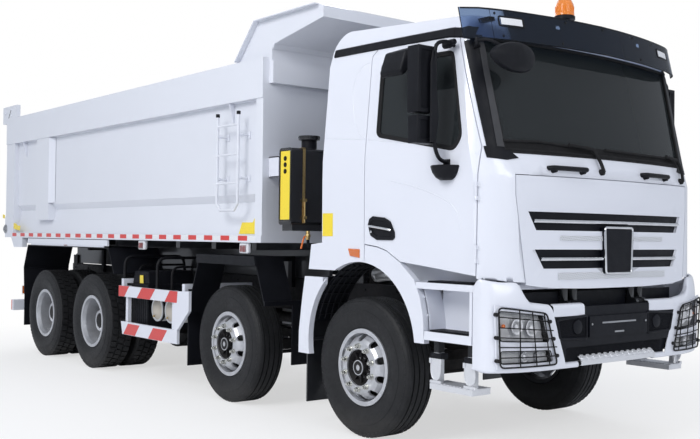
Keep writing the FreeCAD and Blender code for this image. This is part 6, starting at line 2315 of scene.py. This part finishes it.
# ---- bed ---------------------------------------------------------------------
@dataclass
class BedSide(Sided):
    """Tape, lamps, gussets, bolts and seams on one side of the bed."""

    side_y: float = 1.250
    tape_z: Pair = (1.498, 1.544)
    tape_start: float = -7.340
    tape_pitch: float = 0.299
    tape_block: float = 0.152
    tape_count: int = 20
    tape_tail: float = 0.13
    lamp_x: tuple[float, ...] = (-7.220, -5.560, -3.580, -1.592)

    def tape(self) -> None:
        """Red and white reflective tape along the lower edge."""
        word = self.word
        z0, z1 = self.tape_z
        end = self.tape_start + self.tape_pitch * (self.tape_count - 1) + self.tape_block + self.tape_tail
        strip = block("tape_white_" + word, self.at(self.tape_start, self.side_y + 0.0002, z0),
                      self.at(end, self.side_y + 0.0008, z1))
        finish_piece(strip, "bed", WHITE_FILM)
        first = block("tape_red_" + word, self.at(self.tape_start, self.side_y + 0.0006, z0 + 0.001),
                      self.at(self.tape_start + self.tape_block, self.side_y + 0.0014, z1 - 0.001))
        rest = shifted(first, [(self.tape_pitch * i, 0, 0) for i in range(1, self.tape_count)])
        group("tape_red_" + word, [first] + rest, "bed", RED_FILM)

    def marker_lamps(self) -> None:
        """Marker lamps on brackets under the bed's edge."""
        word = self.word
        x = self.lamp_x[0]
        body = block("lamp_body", self.at(x - 0.072, 1.196, 1.384), self.at(x + 0.072, 1.236, 1.482), 0.014)
        lens = block("lamp_lens", self.at(x - 0.050, 1.2355, 1.396), self.at(x + 0.050, 1.2400, 1.458),
                     0.0015)
        shifts = [(other - x, 0, 0) for other in self.lamp_x[1:]]
        group("marker_bodies_" + word, [body] + shifted(body, shifts), "bed", WHITE_FILM)
        bars = [block("lamp_rib", self.at(x + dx, 1.2395, 1.400), self.at(x + dx + 0.009, 1.2420, 1.455),
                      0.001) for dx in (-0.042, -0.018, 0.006, 0.030)]
        ribs = [copied(rib, Matrix.Translation(Vector(shift))) for rib in bars for shift in shifts]
        group("marker_ribs_" + word, bars + ribs, "bed", RED_LENS)
        group("marker_lenses_" + word, [lens] + shifted(lens, shifts), "bed", LAMP_GLASS)

    def gussets(self) -> None:
        """Triangular gussets under the top rail and at the second post's foot."""
        s = self.side.value
        made: list[Piece] = []
        for x in (-7.04, -1.86):
            outline = [self.at(x, 1.184, 2.756), self.at(x, 1.244, 2.756), self.at(x, 1.190, 2.560),
                       self.at(x, 1.184, 2.560)]
            made.append(plate("gusset", outline, (0.012, 0, 0)))
        for x0, reach in ((-6.130, 0.085), (-6.540, -0.085)):
            outline = [self.at(x0, 1.184, 2.750), self.at(x0, 1.235, 2.750), self.at(x0, 1.235, 2.0),
                       self.at(x0, 1.184, 1.93)]
            cheek = plate("cheek", outline, (reach * 0.02, 0, 0))
            made.append(cheek)
            slope = [self.at(x0, 1.240, 2.752), self.at(x0 + reach, 1.186, 2.752),
                     self.at(x0 + reach, 1.186, 1.930), self.at(x0, 1.240, 1.930)]
            made.append(plate("slope", slope, (0, s * 0.002, 0)))
        group("bed_gussets_" + self.word, made, "bed", WHITE)

    def seams(self) -> None:
        """Weld beads where posts, rail and floor flange meet the wall."""
        word = self.word
        lines = [((-7.33, 2.757), (-1.40, 2.757), 1.183), ((-6.98, 1.486), (-1.36, 1.486), 1.2495),
                 ((-6.545, 1.716), (-6.125, 1.716), 1.2405), ((-7.332, 1.74), (-7.332, 2.757), 1.183),
                 ((-1.402, 1.92), (-1.402, 2.757), 1.183)]
        beads = [bar("bead", self.at(x0, y, z0), self.at(x1, y, z1), 0.004, 8)
                 for (x0, z0), (x1, z1), y in lines]
        group("bed_beads_" + word, beads, "bed", WHITE)

    def ears(self) -> None:
        """Bolts, slot and pin head on the tailgate's ear."""
        word = self.word
        bolts = [bar("bolt", self.at(x, 1.2495, z), self.at(x, 1.2575, z), 0.015, 6, 0.002)
                 for x, z in ((-7.715, 3.130), (-7.455, 3.235), (-7.455, 3.150))]
        bolts.append(bar("pin_head", self.at(-7.690, 1.2495, 3.205), self.at(-7.690, 1.2590, 3.205), 0.030,
                         24, 0.003))
        slot = bar("slot", self.at(-7.56, 1.2502, 3.120), self.at(-7.47, 1.2502, 3.235), 0.0045, 8)
        group("ear_bolts_" + word, bolts, "bed", WHITE)
        group("ear_slot_" + word, [slot], "bed", SEAL)

    def lock(self) -> None:
        """Round tailgate lock at the rear lower corner."""
        word = self.word
        x, z = -7.600, 1.597
        pieces = [bar("boss", self.at(x, 1.205, z), self.at(x, 1.262, z), 0.060, 32, 0.006),
                  bar("cap", self.at(x, 1.260, z), self.at(x, 1.276, z), 0.038, 32, 0.005),
                  bar("nut", self.at(x, 1.274, z), self.at(x, 1.284, z), 0.018, 6, 0.002)]
        group("gate_lock_" + word, pieces, "bed", STEEL)

    def build(self) -> None:
        """Dress this side."""
        self.tape()
        self.marker_lamps()
        self.gussets()
        self.seams()
        self.ears()
        self.lock()


@dataclass
class BedTrim:
    """Ladder and blank films of the bed, with both its sides."""

    ladder_x: Pair = (-1.960, -1.605)
    feet_z: Pair = (2.450, 2.060)

    def film(self, name: str, side: Side, corners_xz: Sequence[Pair], y: float, finish: Finish,
             lean: float = 0.0) -> None:
        """A thin blank film on the side, given by its corners.

        Args:
            name: the piece's name.
            side: left or right.
            corners_xz: its outline.
            y: how far out its lower edge lies.
            finish: its look.
            lean: how far each metre of height moves it inwards.
        """
        low = min(z for _, z in corners_xz)
        points = [world(x, side.value * (y - lean * (z - low)), z) for x, z in corners_xz]
        finish_piece(plate(name, points, (0, side.value * 0.0008, 0)), "bed", finish)

    def ladder(self) -> None:
        """Black caps and feet on the ladder."""
        caps = [bar("cap", world(x, -1.295, 2.630), world(x, -1.295, 2.662), 0.0185, 20, 0.004)
                for x in self.ladder_x]
        group("ladder_caps", caps, "bed", BLACK_PLASTIC)
        feet = [block("foot", world(x - 0.032, -1.1905, z - 0.032), world(x + 0.032, -1.182, z + 0.032),
                      0.003) for x in self.ladder_x for z in self.feet_z]
        sleeves = [bar("sleeve", world(x, -1.287, z), world(x, -1.255, z), 0.0145, 20, 0.002)
                   for x in self.ladder_x for z in self.feet_z]
        group("ladder_feet", feet + sleeves, "bed", WHITE)

    def build(self) -> None:
        """Dress the bed."""
        for side in SIDES:
            BedSide(side).build()
        self.ladder()
        right = Side.RIGHT
        tall = [(-1.465, 1.818), (-1.408, 1.818), (-1.423, 1.560), (-1.738, 1.560), (-1.718, 1.664),
                (-1.541, 1.664)]
        self.film("front_patch", right, tall, 1.1925, YELLOW_FILM, 0.21)
        self.film("front_patch_bar", right,
                  [(-1.465, 1.818), (-1.408, 1.818), (-1.410, 1.800), (-1.469, 1.800)], 1.1398, RED_FILM)
        rear = [(-7.300, 1.600), (-7.300, 1.676), (-7.203, 1.670), (-7.170, 1.645), (-7.043, 1.640),
                (-7.068, 1.575)]
        self.film("rear_patch", right, rear, 1.250, YELLOW_FILM)
        self.film("small_patch", right,
                  [(-7.726, 1.800), (-7.640, 1.790), (-7.640, 1.740), (-7.726, 1.748)], 1.2505, YELLOW_FILM)


@dataclass
class OilTankTrim:
    """Panel, glasses, strap, cap and pipework of the hydraulic tank."""

    side_y: float = -1.245
    front_x: float = -0.845
    gauge_x: float = -0.938
    gauge_z: tuple[float, ...] = (2.200, 2.147, 2.092)
    cap_centre: Pair = (-0.937, -1.000)

    def build(self) -> None:
        """Dress the tank."""
        y, x = self.side_y, self.front_x
        outline = [world(a, y, z)
                   for a, z in ((-1.006, 1.684), (-0.872, 1.684), (-0.872, 2.262), (-1.006, 2.262))]
        panel = plate("tank_panel", outline, (0, -0.0012, 0))
        finish_piece(bevel(panel, 0.0005), "chassis", YELLOW_FILM)
        rims = [bar("rim", world(self.gauge_x, y - 0.001, z), world(self.gauge_x, y - 0.006, z), 0.021, 28,
                    0.002) for z in self.gauge_z]
        group("gauge_rims", rims, "chassis", SEAL)
        dots = [bar("dot", world(self.gauge_x, y - 0.005, z), world(self.gauge_x, y - 0.0072, z), 0.014, 24,
                    0.001) for z in self.gauge_z]
        group("gauge_glasses", dots, "chassis", LAMP_GLASS)
        edges = [tube("edge",
                      [world(a, y - 0.002, z)
                       for a, z in ((-1.018, 1.668), (-0.858, 1.668), (-0.858, 2.276), (-1.018, 2.276))],
                      0.006, 0.03, 3, True)]
        group("tank_edges", edges, "chassis", TANK_BLACK)
        strap = block("strap", world(x + 0.0005, -1.132, 1.655), world(x + 0.004, -1.106, 2.286), 0.0008)
        strap_top = block("strap_top", world(-1.025, -1.132, 2.2905), world(x + 0.002, -1.106, 2.2935),
                          0.0008)
        buckle = [bar("screw", world(x + 0.016, -1.119, 1.660), world(x + 0.016, -1.119, 1.850), 0.008, 16,
                      0.001),
                  block("lug", world(x + 0.002, -1.137, 1.835), world(x + 0.028, -1.101, 1.860), 0.004),
                  block("lug", world(x + 0.002, -1.137, 1.690), world(x + 0.028, -1.101, 1.715), 0.004)]
        group("tank_strap", [strap, strap_top] + buckle, "chassis", BRASS)
        cap_x, cap_y = self.cap_centre
        axis = world(cap_x, cap_y, 0.0)
        cap = [(0.0, 2.404), (0.082, 2.404), (0.0915, 2.398), (0.0915, 2.383), (0.084, 2.378),
               (0.084, 2.371), (0.066, 2.368), (0.066, 2.296), (0.0, 2.296)]
        finish_piece(spun("tank_cap", [world(cap_x + r, cap_y, z) for r, z in cap], axis, (0, 0, 1), 48),
                     "chassis", BLACK_PLASTIC)
        grips = turned(bar("grip", world(cap_x + 0.0905, cap_y, 2.385), world(cap_x + 0.0905, cap_y, 2.397),
                           0.0035, 8), axis, (0, 0, 1), 36)
        group("tank_cap_grips", grips, "chassis", BLACK_PLASTIC)
        valve = [bar("valve", world(-0.860, -1.058, 1.590), world(-0.860, -1.058, 1.515), 0.018, 20, 0.003),
                 bar("valve_nut", world(-0.860, -1.058, 1.560), world(-0.860, -1.058, 1.538), 0.025, 6,
                     0.002)]
        group("tank_valve", valve, "chassis", BRASS)
        pipe = tube("tank_pipe",
                    [world(-0.860, -1.058, 1.520), world(-0.858, -1.055, 1.470),
                     world(-0.840, -1.000, 1.440), world(-0.830, -0.900, 1.430),
                     world(-0.860, -0.600, 1.400), world(-0.900, -0.470, 1.330)], 0.014, 0.05, 3)
        finish_piece(pipe, "chassis", FRAME)
        # The lever takes the glowing orange lens finish, so it glows a little though it is no lamp: painted
        # light.
        lever = tube("tank_lever",
                     [world(-0.848, -1.100, 1.545), world(-0.842, -1.120, 1.520),
                      world(-0.842, -1.142, 1.440)], 0.008, 0.02, 3)
        finish_piece(lever, "chassis", ORANGE)
        bracket = [block("bed_bracket", world(-1.289, -1.176, low), world(-1.140, inner, top), 0.002)
                   for low, inner,
                   top in ((2.052, -1.164, 2.240), (2.225, -1.02, 2.240), (2.052, -1.02, 2.066))]
        group("bed_bracket", bracket, "bed", WHITE)


# ---- chassis -----------------------------------------------------------------
@dataclass
class FenderTrim(Sided):
    """Arch lips, side lamp, liner, duct and step treads round the first axle, on one side."""

    arch: tuple[float, float, float] = (0.050, 0.720, 0.635)

    def arc(self, radius: float, first: float, last: float, count: int) -> list[Pair]:
        """Points round the wheel arch between two angles in degrees, from the front.

        Args:
            radius: the radius.
            first: the first angle.
            last: the last angle.
            count: how many points.

        Returns:
            The points.
        """
        x, z, _ = self.arch
        return [(x + radius * math.cos(math.radians(a)), z + radius * math.sin(math.radians(a)))
                for a in steps(first, last, count)]

    def lips(self) -> None:
        """Rolled edges on the arch's two panels."""
        radius = self.arch[2]
        front = tube("lip", [self.at(x, 1.2405, z) for x, z in self.arc(radius + 0.004, 12, 86, 18)],
                     0.0055, 0.0, 3)
        rear = tube("lip", [self.at(x, 1.2405, z) for x, z in self.arc(radius + 0.004, 130, 186, 14)],
                    0.0055, 0.0, 3)
        group("arch_lips_" + self.word, [front, rear], "chassis", WHITE)

    def walls(self) -> None:
        """Smooth white walls at the back of the step well and over the arch's rear end."""
        line = ((0.792, 0.832), (0.789, 0.900), (0.779, 0.995), (0.765, 1.060), (0.747, 1.122),
                (0.728, 1.180))
        curved = patch("wall", [[self.at(x, y, z) for x, z in line] for y in (1.040, 1.065, 1.130, 1.196)],
                       0.004)
        outline = ((0.290, 1.318), (0.450, 1.225), (0.560, 1.195), (0.800, 1.195), (0.800, 1.338),
                   (0.290, 1.356))
        inner = plate("wall", [self.at(x, 1.000, z) for x, z in outline], (0, self.side.value * 0.012, 0))
        group("step_walls_" + self.word, [curved, inner], "chassis", WHITE)

    def lamp(self) -> None:
        """Orange side lamp on the cab's rear wing."""
        outline = [self.at(x, 1.2425, z)
                   for x, z in ((-0.076, 1.455), (0.060, 1.452), (0.061, 1.385), (-0.052, 1.399))]
        lens = plate("side_lamp", outline, (0, self.side.value * 0.012, 0))
        group("side_lamp_" + self.word, [bevel(lens, 0.004, 3)], "cab", ORANGE)

    def liner(self) -> None:
        """Ribbed black liner behind the arch and the silver duct above the tyre."""
        word = self.word
        rows = [[self.at(x, y, z) for x, z in self.arc(0.640, 104, 168, 10)] for y in (1.175, 0.900)]
        shell = patch("liner", rows, 0.006)
        ribs = [tube("rib", [self.at(x, y, z) for x, z in self.arc(0.634, 106, 166, 9)], 0.008, 0.0, 2)
                for y in (1.15, 1.09, 1.03, 0.97, 0.91)]
        cross = [tube("rib", [self.at(x, y, z) for y in (0.905, 1.170)], 0.007, 0.0, 2)
                 for x, z in self.arc(0.634, 110, 162, 7)]
        group("arch_liner_" + word, [shell] + ribs + cross, "chassis", BLACK_PLASTIC)
        duct = bar("duct", self.at(-0.260, 0.800, 1.235), self.at(0.060, 0.800, 1.275), 0.058, 32, 0.004)
        bands = [bar("duct_band", self.at(-0.260 + t, 0.800, 1.235 + t * 0.125),
                     self.at(-0.245 + t, 0.800, 1.237 + t * 0.125), 0.0605, 32, 0.002)
                 for t in (0.02, 0.16, 0.28)]
        group("arch_duct_" + word, [duct] + bands, "chassis", ALLOY)

    def treads(self) -> None:
        """Black toothed pads on both steps."""
        word = self.word
        pads: list[Piece] = []
        for x0, x1, z in ((0.790, 1.228, 1.2302), (0.815, 1.225, 0.8882)):
            pads.append(block("pad", self.at(x0, 1.085, z), self.at(x1, 1.232, z + 0.005), 0.002))
            tooth = block("tooth", self.at(x0 + 0.006, 1.090, z + 0.004),
                          self.at(x0 + 0.022, 1.228, z + 0.013), 0.003)
            count = int((x1 - x0) / 0.026)
            pads += [tooth] + shifted(tooth, [(0.026 * i, 0, 0) for i in range(1, count)])
        group("step_pads_" + word, pads, "chassis", BLACK_PLASTIC)

    def swing_step(self) -> None:
        """Black hinge blocks, rounded hangers and a toothed plate under the lower step."""
        word, s = self.word, self.side.value
        blocks, hangers = [], []
        for x0 in (0.852, 1.180):
            x1 = x0 + 0.048
            blocks.append(block("hinge", self.at(x0 - 0.030, 1.150, 0.700),
                                self.at(x1 + 0.030, 1.222, 0.742), 0.005))
            outline = [(x0 - 0.024, 0.700), (x1 + 0.024, 0.700), (x1 + 0.024, 0.610), (x1 + 0.012, 0.572),
                       (x1 - 0.008, 0.556), (x0 + 0.008, 0.556), (x0 - 0.012, 0.572), (x0 - 0.024, 0.610)]
            hanger = plate("hanger", [self.at(x, 1.216, z) for x, z in outline], (0, s * 0.004, 0), 0.0012)
            hangers.append(hanger)
            hangers.append(tube("hanger_edge", [self.at(x, 1.219, z) for x, z in outline], 0.0045, 0.012, 2,
                                True))
            for dx in (-0.026, 0.026 + 0.048):
                hangers.append(block("lug", self.at(x0 + dx - 0.010, 1.205, 0.668),
                                     self.at(x0 + dx + 0.010, 1.228, 0.704), 0.003))
            hangers.append(block("seat", self.at(x0 - 0.030, 1.200, 0.530),
                                 self.at(x1 + 0.030, 1.226, 0.552), 0.004))
        tooth = block("tooth", self.at(0.842, 1.066, 0.5295), self.at(0.860, 1.230, 0.5375), 0.003)
        teeth = [tooth] + shifted(tooth, [(0.0305 * i, 0, 0) for i in range(1, 14)])
        group("swing_hinges_" + word, blocks, "chassis", BLACK_PLASTIC)
        group("swing_hangers_" + word, hangers + teeth, "chassis", ZINC)

    def build(self) -> None:
        """Dress this side."""
        self.lips()
        self.walls()
        self.lamp()
        self.liner()
        self.treads()
        self.swing_step()


@dataclass
class StepPlates:
    """The plated steps, with the lower ones cut short behind the bumper's corners."""

    front_x: float = 1.245
    lower_top: float = 0.556

    def build(self, nodes: dict[str, Piece]) -> None:
        """Cut a copy of the solids' steps and let it stand for them.

        Args:
            nodes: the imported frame's nodes by name.
        """
        ends = [block("end", world(self.front_x, y, 0.40), world(1.40, y + 0.30, self.lower_top))
                for y in (0.98, -1.28)]
        finish_piece(carved(nodes["step_treads"], "step_plates", ends), "chassis", ZINC, ("step_treads",))


@dataclass
class SideGear:
    """Side guards' films, hoops, battery lid, tank details and the rear bar."""

    guard_y: float = 1.245

    def films(self, side: Side) -> None:
        """Slanted red films on the guard's two bars.

        Args:
            side: left or right.
        """
        s, word = side.value, side.word
        upper = ((-4.073, -3.825, -3.934, -4.073), (-3.529, -3.231, -3.346, -3.639),
                 (-2.923, -2.762, -2.776, -3.027))
        lower = ((-3.838, -3.567, -3.672, -3.944), (-3.267, -2.966, -3.074, -3.370))
        made: list[Piece] = []
        for bars, top, low in ((upper, 0.984, 0.870), (lower, 0.584, 0.466)):
            for a, b, c, d in bars:
                outline = [world(x, s * (self.guard_y + 0.0002), z)
                           for x, z in ((a, top), (b, top), (c, low), (d, low))]
                made.append(plate("film", outline, (0, s * 0.001, 0)))
        group("guard_films_" + word, made, "chassis", RED_FILM)

    def hoops(self, side: Side) -> None:
        """Black hoops that rise from the guard and turn in to the frame.

        Args:
            side: left or right.
        """
        s, word = side.value, side.word
        made: list[Piece] = []
        for x in (-4.040, -3.292):
            made.append(tube("hoop",
                             [world(x, s * 1.190, 0.900), world(x, s * 1.190, 1.302),
                              world(x, s * 0.470, 1.302), world(x, s * 0.452, 1.130)], 0.016, 0.10, 3))
            made.append(tube("inner_hoop",
                             [world(x, s * 1.020, 0.900), world(x, s * 1.020, 1.205),
                              world(x, s * 0.470, 1.205)], 0.013, 0.09, 3))
        group("guard_hoops_" + word, made, "chassis", FRAME)

    def battery(self) -> None:
        """Ribbed lid of the battery box with a blank yellow patch."""
        lid_low, lid_high = world(-3.996, -1.136, 0.965), world(-3.594, -0.556, 1.012)
        lid = [block("lid", lid_low, lid_high, 0.012)]
        crown = plate("crown",
                      [world(x, -1.128, z)
                       for x, z in ((-3.985, 1.005), (-3.605, 1.005), (-3.640, 1.150), (-3.930, 1.150))],
                      (0, 0.560, 0), 0.018, 3)
        ribs = [block("rib", world(-3.955 + 0.012 * i, -1.134, 1.022 + 0.030 * i),
                      world(-3.625 - 0.010 * i, -1.126, 1.030 + 0.030 * i), 0.002) for i in range(4)]
        sides = [block("rib", world(-3.985 + 0.045 * i, -1.1345, 0.540),
                       world(-3.973 + 0.045 * i, -1.129, 0.950), 0.002) for i in range(9)]
        group("battery_lid", lid + [crown] + ribs + sides, "chassis", BLACK_PLASTIC)
        mark = plate("battery_patch",
                     [world(x, -1.1365, z)
                      for x, z in ((-3.790, 1.020), (-3.705, 1.020), (-3.712, 1.105), (-3.790, 1.105))],
                     (0, -0.001, 0))
        finish_piece(mark, "chassis", YELLOW_FILM)

    def air_tanks(self) -> None:
        """Domed beige ends and bands of the two round tanks."""
        domes, bands, drains = [], [], []
        for x in (-3.420, -3.130):
            axis = world(x, -1.118, 0.760)
            profile = [(0.0, -0.001), (0.0, 0.024), (0.040, 0.022), (0.080, 0.014), (0.106, 0.002),
                       (0.106, -0.001)]
            domes.append(spun("dome", [world(x, -1.118 - out, 0.760 + r) for r, out in profile], axis,
                              (0, 1, 0), 40))
            for y in (-1.095, -0.900, -0.700):
                ring = bar("band", world(x, y - 0.014, 0.760), world(x, y + 0.014, 0.760), 0.1265, 44,
                           0.001)
                bands.append(ring)
            drains.append(bar("drain", world(x - 0.02, -1.142, 0.690), world(x - 0.02, -1.154, 0.690),
                              0.011, 16, 0.002))
        group("tank_domes", domes, "chassis", BEIGE)
        group("tank_bands", bands, "chassis", FRAME)
        group("tank_drains", drains, "chassis", BRASS)

    def rear_bar(self) -> None:
        """Red and white film on the underrun bar's back and ends, and lamp lenses."""
        reds, whites = [], []
        for s in (1, -1):
            reds.append(block("film", world(-7.4512, s * 1.060, 0.500), world(-7.4502, s * 1.205, 0.628)))
            reds.append(block("film_end", world(-7.448, s * 1.2101, 0.498),
                              world(-7.420, s * 1.2110, 0.630)))
            for i, store in ((1, whites), (2, reds), (3, whites)):
                store.append(block("film", world(-7.4512, s * (1.205 - 0.165 * i), 0.500),
                                   world(-7.4502, s * (1.060 - 0.165 * i + 0.140), 0.628)))
        group("rear_bar_red", reds, "chassis", RED_FILM)
        group("rear_bar_white", whites, "chassis", WHITE_FILM)
        lenses = {RED_LENS: [], ORANGE: [], LAMP_GLASS: []}
        for s in (1, -1):
            for finish, y0, y1 in ((ORANGE, 0.965, 1.070), (RED_LENS, 0.830, 0.950),
                                   (LAMP_GLASS, 0.715, 0.815)):
                lenses[finish].append(block("lens", world(-7.432, s * y0, 0.712),
                                            world(-7.4195, s * y1, 0.818), 0.003))
        for finish, pieces in lenses.items():
            group("tail_" + finish.name, pieces, "chassis", finish)

    def fasteners(self) -> None:
        """Bolt heads along the frame rails."""
        bolts: list[Piece] = []
        for s in (1, -1):
            first = bar("bolt", world(-7.15, s * 0.4255, 1.075), world(-7.15, s * 0.4345, 1.075), 0.011, 6,
                        0.002)
            run = shifted(first, [(0.42 * i, 0, dz) for i in range(20) for dz in (0.0, -0.190) if i or dz])
            bolts += [first] + run
        group("rail_bolts", bolts, "chassis", FRAME)

    def build(self) -> None:
        """Dress the chassis."""
        for side in SIDES:
            self.films(side)
            self.hoops(side)
        self.battery()
        self.air_tanks()
        self.rear_bar()
        self.fasteners()


# ---- whole truck -------------------------------------------------------------
DRESS: dict[Finish, str] = {
    FRAME: "frame",
    CASTING: "front_axles rear_axles leaf_springs engine propshafts hoist_barrel "
             "knuckle_1_left knuckle_1_right knuckle_2_left knuckle_2_right tie_rod_1 "
             "tie_rod_2",
    HEAT: "exhaust",
    ALLOY: "fuel_tank air_tanks",
    BLACK_PLASTIC: "battery_box mudguards mirrors_left mirrors_right front_mirror",
    WHITE: "side_guards bumper front_panel door_left door_right tailgate",
    ARCH_WHITE: "fenders",
    GRILLE_BLACK: "bumper_centre grille",
    LAMP_GLASS: "lamps",
    ZINC: "step_treads",
    TANK_BLACK: "oil_tank",
    CAB_WHITE: "cab_shell",
    WINDOW: "cab_glass door_glass_left door_glass_right",
    VISOR: "visor",
    AMBER: "beacon",
    TRIM: "cab_interior",
    BED_WHITE: "bed",
    STEEL: "hoist_stage_1 hoist_stage_2",
    CHROME: "hoist_stage_3",
}


def corners() -> list[list[float]]:
    """The shown model's lowest and highest corners as plain numbers."""
    low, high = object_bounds()
    return [[float(v) for v in low], [float(v) for v in high]]


def main() -> None:
    """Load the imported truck, dress it and add what the solids leave out."""
    logging.basicConfig(level=logging.INFO, format="%(message)s")
    random.seed(7)
    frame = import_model()
    nodes = frame["nodes"]
    Studio().build()
    for finish, names in DRESS.items():
        for name in names.split():
            dress_node(nodes, name, finish)
    Wheels().build(nodes)
    TrimmedCab().build(nodes)
    StepPlates().build(nodes)
    for side in SIDES:
        LampUnit(side).build()
        corner = BumperCorner(side).build()
    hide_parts("bumper")
    BumperTrim().build()
    FrontPanelTrim().build()
    CabTrim().build()
    for side in SIDES:
        DoorTrim(side).build()
        Mirrors(side).build()
        FenderTrim(side).build()
    FrontMirror().build()
    RoofGear().build()
    BedTrim().build()
    OilTankTrim().build()
    SideGear().build()


if __name__ == "__main__":
    main()
